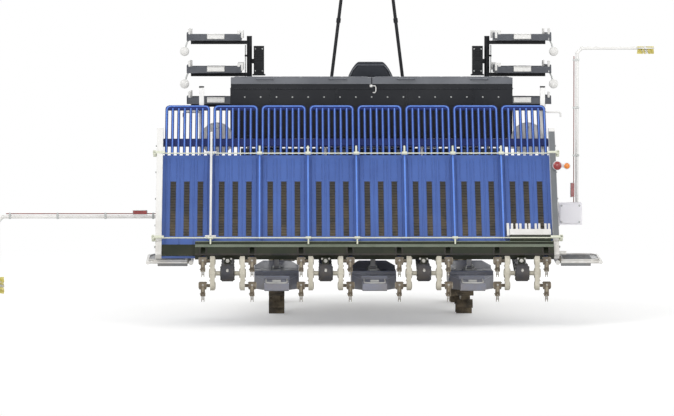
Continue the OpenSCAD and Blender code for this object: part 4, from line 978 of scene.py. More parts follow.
def make_board_details():
    """Feed belts with cleats, sunk in their slots, and the ribs between them."""
    belts, ribs, caps = (Form(table_point) for _ in range(3))
    for cx in ROW_MIDDLES:
        for x in (cx - 84, cx, cx + 84):
            belts.block((x - 17, 150, -6), (x + 17, 560, 2.5))
            for k in range(20):
                along = 160 + k * 20.5
                belts.block((x - 17, along - 2.5, 2), (x + 17, along + 2.5, 7))
            for along in (146, 564):
                ribs.block((x - 22, along - 4, -1), (x + 22, along + 4, 3))
        for x in spread(cx - 126, cx + 126, 4):
            ribs.block((x - 3, 92, -1), (x + 3, 735, 4))
        for x in spread(cx - 105, cx + 105, 6):
            ribs.block((x - 2, 580, -1), (x + 2, 735, 3))
    for along in (240, 420, 600):
        ribs.block((-1190, along - 6, -40), (1190, along + 6, -19))
    # Light caps along the dividers' tops: painted highlights.
    for x in ROW_EDGES[1:-1]:
        caps.block((x - 5, 108, 31), (x + 5, 758, 34.5))
    belts.piece("feed_belts", "seedling_table", lug_rubber, bevel=0.8)
    ribs.piece("board_ribs", "seedling_table", blue_plastic, bevel=1.2)
    caps.piece("divider_highlight_caps", "seedling_table", slat_highlight_blue, bevel=1.2)


def make_rod_brackets():
    """What holds the two rods over the board, on the dividers and on the side plates."""
    low, high = ROD_ALONG
    tees = Form(table_point)
    for x in (ROW_EDGES[i] for i in (1, 3, 4, 6)):
        tees.block((x - 17, low - 6, 40), (x + 17, low + 7, 54))
        tees.block((x - 5, low - 44, 40), (x + 5, low + 6, 47))
    for x in ROW_EDGES[1:-1]:
        tees.block((x - 16, high - 8, 40), (x + 16, high + 9, 55))
        tees.block((x - 6, high + 2, 28), (x + 6, high + 64, 40))
    for s in SIDES:
        for along in ROD_ALONG:
            tees.block((s * 1186, along - 8, 50), (s * 1262, along + 8, 63))
            tees.block((s * 1244, along - 14, 28), (s * 1260, along + 14, 63))
            tees.block((s * 1236, along - 14, 28), (s * 1258, along + 14, 36))
    tees.piece("rod_brackets", "seedling_table", pale_cream, bevel=1.5)


def make_comb():
    """A comb with a stout bar and teeth in four groups, over a dark block, at the last row."""
    comb = Form(table_point)
    comb.block((936, 128, 34), (1190, 170, 50))
    comb.block((918, 122, 34), (934, 214, 50))
    for x in (944, 974, 996, 1030, 1052, 1090, 1112, 1150, 1172):
        comb.block((x, 168, 35), (x + 14, 212, 49))
    for x in (938, 1176):
        comb.block((x, 130, 0), (x + 10, 166, 36))
    comb.piece("mat_comb", "seedling_table", white_paint, bevel=1.2)


def make_gauge_and_strip():
    gauge, strip = Form(table_point), Form(table_point)
    x, top, out = ROW_EDGES[1], 880, 60
    gauge.rod(table_point(x, 112, out), table_point(x, top, out), 7.5, 12)
    for along in (114, 745):
        gauge.block((x - 34, along - 5, 50), (x + 34, along + 5, 58))
        gauge.block((x - 5, along - 5, 30), (x + 5, along + 5, 60))
    up_slope = table_point(x, 1, 0) - table_point(x, 0, 0)
    gauge.turned([(0, 6), (4, 9), (12, 9), (16, 4)], table_point(x, top, out), up_slope, 14)
    gauge.piece("gauge_rod", "seedling_table", white_paint, bevel=1.2)
    # Dark strip along the board's foot.
    strip.block((-1199, 3, 0.4), (1199, 84, 9))
    strip.block((936, 92, 10), (1188, 127, 46))
    strip.piece("foot_strip", "seedling_table", gate_dark, bevel=1.2)


def make_table_side_details():
    cover, housing, red, amber, bolts = Form(table_point), Form(), Form(), Form(), Form()
    # A grey cover on the right side plate only: painted shade on a white plate.
    cover.block((1201, 110, 57), (1237, 900, 60))
    cover.piece("shaded_side_cover_right", "seedling_table", shaded_white_grey, bevel=1.2)
    at = Vector((1138, -1006, 975))
    beside = at + Vector((60, 4, -2))
    housing.turned([(0, 20), (-4, 29), (-16, 30), (-22, 28)], at, AHEAD, 32)
    housing.turned([(0, 14), (-4, 21), (-14, 22), (-18, 20)], beside, AHEAD, 24)
    housing.block((1118, -1010, 962), (1206, -1000, 986))
    housing.block((1118, -1006, 958), (1130, -966, 990))
    red.turned([(-20, 27), (-27, 25), (-31, 18), (-33, 6)], at, AHEAD, 32)
    amber.turned([(-16, 19), (-21, 17), (-24, 11), (-25, 4)], beside, AHEAD, 24)
    housing.piece("table_lamp_housing", "seedling_table", cover_white, bevel=1)
    red.piece("table_lamp_red", "seedling_table", lamp_red)
    amber.piece("table_lamp_amber", "seedling_table", lamp_amber)
    for s in SIDES:
        places = [table_point(s * (TABLE_HALF + 38), along, 16) for along in (60, 220, 420, 620, 820)]
        bolts.bolts(places, (s, 0, 0), 10, 5)
    bolts.piece("table_side_bolts", "seedling_table", zinc)


make_slat_highlight_beads()
make_board_details()
make_rod_brackets()
make_comb()
make_gauge_and_strip()
make_table_side_details()


# Planting section

def slope_place(x, along, out):
    """A place on the rail's own slope, which doesn't move with the table."""
    return table_point(x + TABLE_SHIFT, along, out)


def make_rail_details():
    ridges, guides, bolts = Form(slope_place), Form(slope_place), Form()
    ridges.block((-1098, 46, 33), (1098, 66, 36.5))
    ridges.block((-1098, 84, 27), (1098, 90, 37))
    ridges.piece("rail_ridges", "planting_section", rail_light, bevel=1)
    guides.block((-1098, -14, 33), (1098, -2, 36))
    for middle in ROW_MIDDLES:
        # Guides on both sides of each row's notch.
        for x in (middle - 20, middle + 20):
            guides.block((x - 4, -14, 33), (x + 4, 44, 38))
    guides.piece("rail_guides", "planting_section", dark_plastic, bevel=0.8, slot="gate_dark")
    for x in CASE_X:
        bolts.bolts([(x, -1354, 402), (x, -1460.8, 348)], BEHIND, 15, 7)
        bolts.bolts([(x - 22, -1354, 415), (x + 22, -1354, 415)], BEHIND, 8, 4)
    bolts.piece("case_bolts", "planting_section", bright_bolt)


def make_case_details():
    covers, flanges, bolts = Form(), Form(), Form()
    for x in CASE_X:
        for s in SIDES:
            side = x + s * CASE_HALF
            hub = (side, ROTOR.y, ROTOR.z)
            covers.turned([(0, 44), (5, 44), (8, 38), (9, 22)], hub, (s, 0, 0), 36)
            bolts.bolts(circle((side + s * 5, ROTOR.y, ROTOR.z), 37, 6, 30), (s, 0, 0), 7, 3)
            places = ((-1320, 366), (-1230, 372), (-1080, 384), (-960, 410))
            bolts.bolts([(side, y, z) for y, z in places], (s, 0, 0), 9, 4)
        covers.prism([(-880, 400), (-880, 456), (-1176, 382), (-1390, 382), (-1390, 378), (-1176, 378),
                      (-884, 452), (-884, 404), (-1350, 292), (-1350, 288)], x - 38, x + 38)
        flanges.block((x - 58, FLANGE_Y, 396), (x + 58, FLANGE_Y + 10, 464))
        bolts.bolts([(x + dx, FLANGE_Y, z) for dx in (-47, 47) for z in (408, 452)], BEHIND, 11, 6)
    covers.piece("case_covers", "planting_section", case_charcoal, bevel=1)
    flanges.piece("case_flanges", "planting_section", cast_grey, bevel=1.5)
    bolts.piece("case_fasteners", "planting_section", zinc)
    y, z = DRIVE_SHAFT
    shaft = Form().rod((-1020, y, z), (1020, y, z), 10, 6)
    for x in (-1010, -780, -600, -420, -180, 0, 180, 420, 600, 780, 1010):
        shaft.rod((x - 16, y, z), (x + 16, y, z), 16, 20)
    shaft.piece("planting_drive_shaft", "planting_section", zinc)


def make_rotor_details():
    caps = Form()
    y, z = ROTOR.y, ROTOR.z
    for x in CASE_X:
        for s in SIDES:
            inner, outer = x + s * 78, x + s * 106
            for dz in (-ROTOR_REACH, ROTOR_REACH):
                caps.turned([(0, 24), (3, 24), (5, 19), (6, 9)], (inner, y, z + dz), (-s, 0, 0), 28)
            caps.turned([(0, 30), (4, 30), (6, 24), (7, 12)], (inner, y, z), (-s, 0, 0), 28)
            caps.turned([(0, 28), (4, 28), (7, 22), (8, 10)], (outer, y, z), (s, 0, 0), 28)
            places = [(outer, y + dy, z + dz) for dz in (-44, 44, 0) for dy in (-20, 20)]
            caps.bolts(places, (s, 0, 0), 7, 3)
            caps.block((inner - s, y - 32, z - 3), (outer + s, y + 32, z + 3))
    caps.piece("rotor_caps", "rotors", alloy, bevel=0.8)


def make_arm_details(body, dz):
    """Covers, bolts and pushers of the planting arms on one end of the rotors."""
    plates, bright, pushers = Form(), Form(), Form()
    for x, s in [(case + s * 150, s) for case in CASE_X for s in SIDES]:
        y, z = ROTOR.y, ROTOR.z + dz
        plates.turned([(0, 19), (3, 19), (5, 14)], (x + s * 22, y, z), (s, 0, 0), 24)
        for side in SIDES:
            bright.bolts(circle((x + side * 22, y, z), 17, 3, 90), (side, 0, 0), 5, 3)
        # Fork holder with its clamp bolts, and the pusher between the tines.
        plates.block((x - 15, y + 2, z - 66), (x + 15, y + 24, z - 44))
        bright.bolt((x, y + 2, z - 55), BEHIND, 7, 4)
        bright.bolt((x - 15, y + 12, z - 52), (-1, 0, 0), 6, 3)
        pushers.rod((x, y + 12, z - 60), (x, y + 12, z - 82), 3, 10)
        pushers.block((x - 5, y + 8, z - 88), (x + 5, y + 16, z - 80))
        plates.rod((x, y - 16, z - 2), (x, y - 10, z - 36), 9, 14)
        bright.bolt((x, y - 22, z + 4), (0, -1, 0.3), 8, 4)
    plates.piece(body + "_covers", body, arm_beige, bevel=0.8)
    bright.piece(body + "_bolts", body, bright_bolt)
    pushers.piece(body + "_pushers", body, bright_bolt, bevel=0.6)


def add_float_edges(edges, x):
    for y, z, half in ((-1280, FLOAT_STEP, 78), (-1121, FLOAT_TOP, FLOAT_HALF),
                       (-815, FLOAT_TOP + 1, FLOAT_HALF), (-692, 369, 86)):
        edges.tube([(x - half, y, z), (x + half, y, z)], 2.6, 8)
    for side in (x - FLOAT_HALF, x + FLOAT_HALF):
        inner = side + math.copysign(FLOAT_HALF - 74, x - side)
        edges.tube([(inner, -1290, FLOAT_TAIL), (side, -1141, FLOAT_STEP)], 2.2, 8)
        edges.tube([(side, -1118, FLOAT_TOP), (side, -816, FLOAT_TOP + 1), (side, -762, 345)], 2.2, 8)


def add_float_tail(tails, x):
    """A pale bead round the tail, which falls with its slope."""
    half, reach, radius = 64, -1392, 20
    path = [(x - half, -1306), (x - half, reach)]
    path += arc((x - half + radius, reach - 2), radius, 180, 270, 5)
    path += arc((x + half - radius, reach - 2), radius, 270, 360, 5)
    path += [(x + half, reach), (x + half, -1306)]
    tails.tube([(px, py, 287 - 20 * (-1300 - py) / 130) for px, py in path], 5, 10)
    tails.block((x - 26, -1372, 274), (x + 26, -1340, 286))


def make_float_details():
    edges, ribs, tails, brackets = (Form() for _ in range(4))
    for x in FLOAT_X:
        add_float_edges(edges, x)
        for dx, rear in ((-90, -1236), (-30, -1272), (30, -1272), (90, -1236)):
            ribs.block((x + dx - 7, -1110, FLOAT_TOP), (x + dx + 7, -830, FLOAT_TOP + 4))
            ribs.block((x + dx - 7, rear, FLOAT_STEP), (x + dx + 7, -1128, FLOAT_STEP + 3.5))
        for dx in (-36, 0, 36):
            ribs.block((x + dx - 5, -1300, FLOAT_TAIL), (x + dx + 5, -1288, FLOAT_TAIL + 3))
        add_float_tail(tails, x)
        brackets.block((x - 42, -1010, FLOAT_TOP), (x + 42, -820, FLOAT_TOP + 7))
        for s in SIDES:
            brackets.block((x + s * 20 - 4, -900, 330), (x + s * 20 + 4, -820, 352))
            brackets.bolts([(x + s * 32, y, FLOAT_TOP + 7) for y in (-995, -835)], UP, 9, 5)
        brackets.rod((x - 30, -856, 341), (x + 30, -856, 341), 6, 16)
    edges.piece("float_edges", "planting_section", float_light)
    ribs.piece("float_ribs", "planting_section", float_grey, bevel=1.2)
    tails.piece("float_tails", "planting_section", float_pale, bevel=2)
    brackets.piece("float_brackets", "planting_section", zinc, bevel=1)


def make_guard_boards():
    boards, edges, stays = Form(), Form(), Form()
    front, rear = (-950, 421), (-1270, 399)
    for s in SIDES:
        inner, corner, outer = (s * x for x in GUARD_X)
        top = [(inner, *front), (corner, *front), (outer, front[0] - 60, front[1] - 4),
               (outer, rear[0] + 60, rear[1] + 4), (corner, *rear), (inner, *rear)]
        boards.hull_of([top, [(x, y, z - 5) for x, y, z in top]])
        edges.tube([(x, y, z + 2) for x, y, z in reversed(top)], 6, 10)
        boards.block((inner, rear[0] - 6, 366), (s * 1330, rear[0], 398))
        stays.block((s * 1137 - 10, -1284, 384), (s * 1137 + 10, -930, 428))
        for y in (-1000, -1070, -1140, -1210):
            z = 405 + (y + 1110) * 0.07
            boards.block((inner + s * 20, y - 4, z), (s * 1340, y + 4, z + 11))
    # The guard boards, white paint, are given a grey: painted shade.
    boards.piece("guard_boards", "planting_section", shaded_white_grey, bevel=1, slot="white_paint")
    edges.piece("guard_edges", "planting_section", white_paint)
    stays.piece("guard_stays", "planting_section", frame_grey, bevel=2)


def make_carrier_details():
    bolts, hooks, caps, rims = Form(), Form(), Form(), Form()
    for s in SIDES:
        x, post_x = s * 973, s * POST_X
        rims.tube(circle((x, -661.5, 1133), 100, 40, plane="xz")[:21], 3.2, 8)
        bolts.bolts([(x + dx, -660, z) for dx, z in ((-70, 1100), (70, 1100), (0, 1205))], BEHIND, 13, 7)
        hooks.tube([(s * x, POST_Y, z) for x, z in ((1080, 1299), (1172, 1299), (1184, 1290), (1184, 1268))],
                   6, 10)
        caps.block((post_x - 16, POST_Y - 16, 1452), (post_x + 16, POST_Y + 16, 1462))
        bolts.bolts([(post_x + s * 15, POST_Y, z) for z in (500, 900, 1300)], (s, 0, 0), 11, 6)
        bolts.bolts([(s * 1097, y, 430) for y in (-700, -640, -580)], (s, 0, 0), 13, 7)
        bolts.bolts([(s * 1097, -545, z) for z in (560, 690)], (s, 0, 0), 11, 6)
        add_link_pins(bolts, s, SECTION_PIN_Y)
    bolts.piece("carrier_bolts", "planting_section", zinc)
    hooks.piece("carrier_hooks", "planting_section", white_paint)
    caps.piece("carrier_caps", "planting_section", dark_plastic, bevel=1.5)
    rims.piece("gusset_rims", "planting_section", white_paint)


def add_link_pins(bolts, s, y):
    """Heads of the lower and the upper link's pins."""
    lower, upper = LINK_PIN_Z
    bolts.bolt((s * 196, y, lower), (s, 0, 0), 24, 12)
    bolts.bolt((s * 109, y, upper), (s, 0, 0), 20, 10)


make_rail_details()
make_case_details()
make_rotor_details()
make_arm_details("arms_a", ROTOR_REACH)
make_arm_details("arms_b", -ROTOR_REACH)
make_float_details()
make_guard_boards()
make_carrier_details()


# Line markers

def make_marker_boxes():
    covers, screws = Form(), Form()
    rear = -689
    for s in SIDES:
        low, high = sorted((s * 1176, s * 1308))
        covers.block((low, rear, 602), (high, rear + 5, 724))
        covers.block((low - 3, rear + 2, 700), (high + 3, -606, 706))
        screws.bolts([(x, rear, z) for x in (low + 10, high - 10) for z in (612, 714)], BEHIND, 8, 4)
        screws.bolt((s * MARKER_PIVOT.x, -515, MARKER_PIVOT.z), AHEAD, 18, 8)
    covers.piece("marker_box_covers", "planting_section", box_white, bevel=2)
    screws.piece("marker_box_screws", "planting_section", zinc)


def make_marker(name, s, u, v):
    """The marker's own axes are u along its arm and v the way its tip points."""
    pivot = Vector((s * MARKER_PIVOT.x, MARKER_PIVOT.y, MARKER_PIVOT.z))
    star, blades, rod, plate, glass = (Form() for _ in range(5))

    def place(along, out, ahead=0):
        return pivot + along * u + out * v + ahead * AHEAD

    hub = place(MARKER_ARM, MARKER_TIP)
    star.rod(hub - 36 * u, hub + 12 * u, 13, 20)
    star.rod(hub - 20 * u, hub - 12 * u, 30, 28)
    for angle in round_turn(8, 22.5):
        out = math.cos(angle) * v + math.sin(angle) * AHEAD
        side = -math.sin(angle) * v + math.cos(angle) * AHEAD
        ring = [hub + out * r + side * w for r, w in ((24, -1.5), (54, -1.5), (54, 1.5), (24, 1.5))]
        blades.hull_of([[p - 36 * u + side * 8 for p in ring], [p + 11 * u - side * 8 for p in ring]])
    star.piece(name + "_hub", name, white_paint, bevel=1)
    blades.piece(name + "_star", name, star_yellow, bevel=0.6)
    # A thin return rod beside the arm, with clips, and a reflector near the pivot.
    rod.tube([place(60, -20), place(1010, -20)], 3, 8)
    rod.piece(name + "_return_rod", name, rust_red)
    for along in (80, 380, 680, 980):
        plate.block(place(along, -26, -12), place(along + 12, 13, 12))
    plate.block(place(122, -42, -6), place(214, -14, 0))
    plate.rod(place(0, 0, -30), place(0, 0, 30), 23, 28)
    plate.piece(name + "_clips", name, zinc, bevel=1)
    glass.block(place(125, -39, -12), place(211, -17, -5))
    glass.piece(name + "_reflector", name, lamp_red, bevel=1)


make_marker_boxes()
make_marker("marker_left", -1, Vector((-1, 0, 0)), DOWN)
make_marker("marker_right", 1, UP, Vector((1, 0, 0)))


# Wheels

# Name, y and z of the axle, wheel radius, lugs, half width of a lug, spokes
AXLES = (("front", WHEELBASE, FRONT_Z, 325, 16, 42, 5), ("rear", 0, REAR_Z, 475, 20, 50, 6))


def across(x):
    return Vector((x, 0, 0))


def wheel_axes(angle):
    """Away from the hub at an angle, and round the wheel there."""
    return Vector((0, math.cos(angle), math.sin(angle))), Vector((0, -math.sin(angle), math.cos(angle)))


def add_lug_feet(ribs, centre, angle, ring_r, lug_half):
    """Gussets that hold a lug on its ring, and the lug's thicker foot, on both sides."""
    out, along = wheel_axes(angle)
    base = centre + out * (ring_r - 4)
    for w in SIDES:
        gusset = [base + along * w * 7, base + along * w * 24, base + along * w * 7 + out * 30]
        for x in (-16, 16):
            ribs.hull_of([[p + across(x + dx) for p in gusset] for dx in (-3, 3)])
        foot = [base + out * 2 + across(w * 22), base + out * 28 + across(w * (lug_half - 3)),
                base + out * 16 + across(w * 22)]
        ribs.hull_of([[p + along * shift for p in foot] for shift in (-10, 10)])


def add_spoke_ribs(steel, nuts, centre, angle, band_r):
    """A raised rib down each face of a spoke, and its bolts."""
    out, along = wheel_axes(angle)
    for w in SIDES:
        face = centre + across(w * 8)
        ring = [along * -5, along * 5, along * 5 + across(w * 5), along * -5 + across(w * 5)]
        steel.hull_of([[face + out * r + p for p in ring] for r in (60, band_r - 14)])
        places = [face + out * r + along * shift for r in (72, band_r - 22) for shift in (-12, 12)]
        nuts.bolts(places, (w, 0, 0), 9, 5)


def make_wheel_details(body, s, centre, radius, lugs, lug_half, spokes):
    ribs, steel, nuts = Form(), Form(), Form()
    ring_r = radius - 42
    band_r = ring_r - 34
    for angle in round_turn(lugs, 180 / lugs):
        add_lug_feet(ribs, centre, angle, ring_r, lug_half)
    for angle in round_turn(spokes, 180 / spokes):
        add_spoke_ribs(steel, nuts, centre, angle, band_r)
    # Round beads along both edges of the ring and of the band.
    for w in SIDES:
        ribs.tube(circle(centre + across(w * 20), ring_r - 1, 96), 3.4, 8, closed=True)
        steel.tube(circle(centre + across(w * 18), band_r - 7, 96), 3.6, 8, closed=True)
    hub = centre + across(s * 42)
    steel.turned([(0, 52), (4, 52), (7, 46), (8, 36)], hub, (s, 0, 0), 40)
    nuts.rod(hub + across(s * 6), hub + across(s * 14), 30, 28)
    nuts.bolts(circle(hub + across(s * 5), 42, 6), (s, 0, 0), 9, 4)
    ribs.piece(body + "_lug_feet", body, lug_rubber, bevel=1)
    steel.piece(body + "_ribs", body, wheel_steel, bevel=0.8)
    nuts.piece(body + "_nuts", body, zinc)


for end, y, z, *sizes in AXLES:
    for s, side in ((-1, "left"), (1, "right")):
        make_wheel_details(end + "_wheel_" + side, s, Vector((s * WHEEL_X, y, z)), *sizes)


# Chassis

def add_chassis_bolts(bolts, s):
    rail = s * RAIL_X
    bolts.bolts([(s * 260, y + dy, RAIL_Z) for y in (-120, 450, WHEELBASE, 1550) for dy in (-16, 16)],
                (s, 0, 0), 13, 7)
    bolts.bolts([(rail, y, RAIL_Z + 35) for y in (100, 260, 620, 700, 860, 1350)], UP, 11, 5)
    add_link_pins(bolts, s, CHASSIS_PIN_Y)
    bolts.bolt((s * 54, -175, 760), (s, 0, 0), 18, 8)
    bolts.bolts(circle((s * 75, 0, REAR_Z), 80, 8, 22.5), (s, 0, 0), 11, 5)
    bolts.bolts(circle((s * 557, 0, REAR_Z), 63.5, 4, 67.5), (s, 0, 0), 8, 3)
    for side in SIDES:
        bolts.bolts([(rail + side * 34, dy, RAIL_Z - 50) for dy in (-22, 22)], (side, 0, 0), 11, 5)
    bolts.bolts(circle((s * KINGPIN_X, WHEELBASE, 540), 34, 4, 45, plane="xy"), UP, 9, 4)


def make_chassis_details():
    bolts, castings, dipstick = Form(), Form(), Form()
    for s in SIDES:
        add_chassis_bolts(bolts, s)
        # Bands on the axle tubes, and caps of the kingpin housings.
        for x in (330, 470):
            castings.rod((s * x, 0, REAR_Z), (s * (x + 10), 0, REAR_Z), 50, 36)
        for x in (200, 330):
            castings.rod((s * x, WHEELBASE, AXLE_Z), (s * (x + 10), WHEELBASE, AXLE_Z), 44, 36)
        cap = [(0, 46), (5, 46), (9, 38), (10, 16)]
        castings.turned(cap, (s * KINGPIN_X, WHEELBASE, AXLE_Z + 70), UP, 36)
    bolts.bolts([(x, 400, z) for z in (560, 595) for x in (-90, 0, 90)], AHEAD, 11, 5)
    for y0, y1 in ((1112, 1120), (1240, 1246)):
        castings.rod((0, y0, AXLE_Z), (0, y1, AXLE_Z), 58, 40)
    # Ribs of the gearbox, and its dipstick and drain plug.
    for y in (150, 210, 270, 330):
        castings.block((-133, y - 5, 470), (133, y + 5, 605))
    for y in (540, 640, 740):
        castings.block((-103, y - 5, 500), (103, y + 5, 622))
    castings.rod((0, 240, 456), (0, 240, 462), 22, 6)
    dipstick.rod((90, 380, 608), (90, 380, 640), 7, 12)
    dipstick.turned([(0, 12), (6, 14), (12, 12)], (90, 380, 640), UP, 20)
    bolts.piece("chassis_bolts", "chassis", zinc)
    castings.piece("casting_ribs", "chassis", cast_grey, bevel=1.2)
    dipstick.piece("gearbox_dipstick", "chassis", dark_plastic, bevel=0.8)


def make_knuckle_details(side, x):
    bands, bolts = Form(), Form()
    for low, high in ((300, 308), (356, 362)):
        bands.rod((x, WHEELBASE, low), (x, WHEELBASE, high), 47, 36)
    outward = math.copysign(1, x)
    bands.rod((x + outward * 60, WHEELBASE, FRONT_Z), (x + outward * 68, WHEELBASE, FRONT_Z), 51, 36)
    bolts.bolts(circle((x, WHEELBASE, 280.3), 30, 4, 45, plane="xy"), DOWN, 9, 4)
    bolts.bolt((x, WHEELBASE - 120, 415), UP, 14, 4)
    bands.piece("knuckle_%s_bands" % side, "knuckle_" + side, cast_grey, bevel=1)
    bolts.piece("knuckle_%s_bolts" % side, "knuckle_" + side, zinc)


# Floor and pedals

# Sides, first x, its step, how many, shift of every other row, first y, its step, rows
GRIP_FIELDS = ((SIDES, 296, 56, 6, 20, 516, 25, 21),
               (SIDES, 300, 60, 4, 20, 1070, 26, 20),
               ((1,), -240, 58, 9, 16, 520, 25, 14))
PEDAL_TILT = Matrix.Rotation(math.radians(-35), 3, "X")


def make_floor_details():
    grips, trim = Form(), Form()
    for sides, x0, x_step, count, shift, y0, y_step, rows in GRIP_FIELDS:
        for s in sides:
            for row in range(rows):
                y = y0 + row * y_step
                for k in range(count):
                    x = s * (x0 + k * x_step + (row % 2) * shift)
                    grips.block((x - 14, y - 3, FLOOR_Z - 1), (x + 14, y + 3, FLOOR_Z + 3.5))
    for s in SIDES:
        for k in range(9):
            y = 556 + k * 25
            grips.block((s * 500, y - 3, 445), (s * 612, y + 3, 450))
    half = [(557, 1621), (557, 1043), (617, 1037), (617, 503)]
    outline = [(-x, y) for x, y in reversed(half)] + half
    trim.tube([(x, y, FLOOR_Z) for x, y in outline], 4, 8)
    grips.piece("floor_grips", "chassis", step_plastic, bevel=1)
    trim.piece("floor_edge", "chassis", dark_plastic)


def make_pedals():
    """A broad pedal on the right, a narrow one on the left."""
    pedals = Form()
    for x, half in ((175, 42), (-170, 34)):
        def tilted(right, along, up, x=x):
            return PEDAL_TILT @ Vector((right, along, up)) + Vector((x, 836, 806))

        pedals.tube([(x, 946, 760), (x, 880, 778), (x, 838, 800)], 7, 10)
        pedals.turn = tilted
        pedals.block((-half, -6, -32), (half, 4, 32))
        for z in (-22, -8, 6, 20):
            pedals.block((-half + 4, -9, z - 2), (half - 4, -6, z + 2))
    pedals.piece("pedals", "chassis", dark_plastic, bevel=1.2)


# Dashboard and steering wheel

DASH_EDGE = Vector((0, 860, 1140))
DASH_UP = Vector((0, 80, 90)).normalized()
DASH_OUT = Vector((0, -90, 80)).normalized()
COLUMN_TILT = math.radians(32)
COLUMN_FOOT = Vector((0, 910, 1170))
COLUMN_UP = Vector((0, -math.sin(COLUMN_TILT), math.cos(COLUMN_TILT)))
COLUMN_AHEAD = Vector((0, math.cos(COLUMN_TILT), math.sin(COLUMN_TILT)))
WHEEL_CENTRE = COLUMN_FOOT + COLUMN_UP * 150.3
WHEEL_RADIUS = 172


def dash_place(x, along, out):
    return DASH_EDGE + across(x) + along * DASH_UP + out * DASH_OUT


def make_dash_panel():
    panel, screen, knobs = (Form(dash_place) for _ in range(3))
    panel.block((-205, 10, -1), (205, 112, 4))
    for x in (-150, 150):
        panel.block((x - 34, 22, 3), (x + 34, 100, 7))
    screen.block((-84, 68, 3), (84, 110, 6))
    for x, along in ((126, 36), (166, 36), (126, 60), (166, 60), (126, 84)):
        knobs.turned([(0, 8), (4, 8), (6, 5)], dash_place(x, along, 7), DASH_OUT, 16)
    for x in (-176, -160, -144, -128):
        knobs.block((x, 38, 6), (x + 10, 56, 10))
    knobs.turned([(0, 15), (3, 15), (5, 9)], dash_place(-150, 80, 7), DASH_OUT, 20)
    panel.piece("dash_panel", "chassis", dark_plastic, bevel=1.5)
    screen.piece("dash_screen", "chassis", dark_screen, bevel=1)
    knobs.piece("dash_switches", "chassis", cover_white, bevel=0.8)


def make_levers_and_seams():
    """Levers on the dashboard's top, left for the drive and right for the planting section."""
    levers, grips, seams = Form(), Form(), Form()
    for x, y, lean in ((-190, 985, -30), (190, 1000, -14)):
        seams.prism([(950, 1220), (1040, 1205), (1040, 1215.5), (950, 1231)], x - 9, x + 9)
        levers.tube([(x, y, 1212), (x, y + lean * 0.6, 1280), (x, y + lean, 1338)], 6, 12)
        grips.turned([(0, 8), (8, 14), (26, 19), (44, 16), (52, 8)], (x, y + lean, 1332), UP, 20)
    levers.tube([(0, 886, 1176), (-96, 850, 1212), (-118, 838, 1222)], 5, 10)
    grips.turned([(0, 6), (6, 11), (22, 12), (28, 6)], (-112, 841, 1219), (-0.8, -0.35, 0.35), 16)
    # Bellows round the steering column, and seams of the cover.
    for k in range(4):
        low = 42 + 24 * k
        seams.rod(COLUMN_FOOT + COLUMN_UP * low, COLUMN_FOOT + COLUMN_UP * (low + 10), 27 - k, 28)
    for x in (-230, 230):
        seams.block((x - 1.5, 950, 800), (x + 1.5, 1050, 806))
        for k in range(7):
            seams.block((x - 2, 965, 840 + 22 * k), (x + 2, 1035, 848 + 22 * k))
    levers.piece("lever_rods", "chassis", rod_chrome)
    grips.piece("lever_knobs", "chassis", seat_vinyl, subdivide=1)
    seams.piece("dash_seams", "chassis", dark_plastic, bevel=0.8)


def on_wheel(angle, radius, up):
    """A place round the steering wheel, and over its middle plane."""
    return (WHEEL_CENTRE + COLUMN_UP * up + across(radius * math.cos(angle))
            + COLUMN_AHEAD * radius * math.sin(angle))


def make_steering_wheel_details():
    """Finger grooves round the rim, spoke covers, a cap and a knob."""
    wheel, trim = Form(), Form()
    trim.turned([(33, 38), (38, 36), (42, 24), (43, 8)], WHEEL_CENTRE, COLUMN_UP, 32)
    for angle in round_turn(36):
        middle = on_wheel(angle, WHEEL_RADIUS, 10)
        along = across(-math.sin(angle)) + COLUMN_AHEAD * math.cos(angle)
        wheel.rod(middle - along * 3, middle + along * 3, 14.2, 14)
    for angle in round_turn(3, 90):
        trim.rod(on_wheel(angle, 36, 10), on_wheel(angle, 158, 10), 9, 12)
    knob = [(0, 9), (6, 9), (10, 17), (34, 20), (44, 16), (48, 6)]
    trim.turned(knob, on_wheel(math.radians(205), WHEEL_RADIUS, 18), COLUMN_UP, 24)
    wheel.piece("steering_wheel_grip", "steering_wheel", seat_vinyl, slot="dark_plastic")
    trim.piece("steering_wheel_trim", "steering_wheel", dark_plastic)


# Bonnet and engine

def make_bonnet_details():
    vents, ridges, glass, rims, grille = (Form() for _ in range(5))
    for s in SIDES:
        for k in range(7):
            y = 1240 + 38 * k
            inner, outer = BONNET_HALF - 1, BONNET_HALF + 2.5
            ring = ((inner, y), (inner, y + 12), (outer, y + 12), (outer, y))
            vents.hull_of([[(s * x, y + lean, z) for x, y in ring] for lean, z in ((0, 800), (14, 880))])
        ridges.tube([(s * 150, 1070, 1181), (s * 150, 1225, 1151), (s * 150, 1560, 1022)], 4, 8)
        ridges.tube([(s * BONNET_HALF, 1080, 760), (s * BONNET_HALF, 1540, 760)], 3.2, 8)
        lamp = (s * 165, 1625, 820)
        rims.turned([(-1, 58), (6, 58), (9, 54), (9, 49.5), (-1, 49.5)], lamp, AHEAD, 40)
        glass.turned([(24, 47), (27, 44), (31, 30), (33, 10)], lamp, AHEAD, 36)
        vents.bolts([(s * BONNET_HALF, y, 740) for y in (1100, 1250, 1400, 1550)], (s, 0, 0), 9, 3)
    for k in range(8):
        grille.block((-92, 1624, 742 + 24 * k), (92, 1630, 752 + 24 * k))
    grille.block((-100, 1623, 734), (100, 1627, 930))
    grille.piece("bonnet_grille", "bonnet", dark_plastic, bevel=1.5)
    vents.piece("bonnet_vents", "bonnet", dark_plastic, bevel=0.6)
    ridges.piece("bonnet_ridges", "bonnet", blue_plastic)
    rims.piece("headlamp_rims", "bonnet", dark_plastic)
    glass.piece("headlamp_glass", "bonnet", lens_clear)


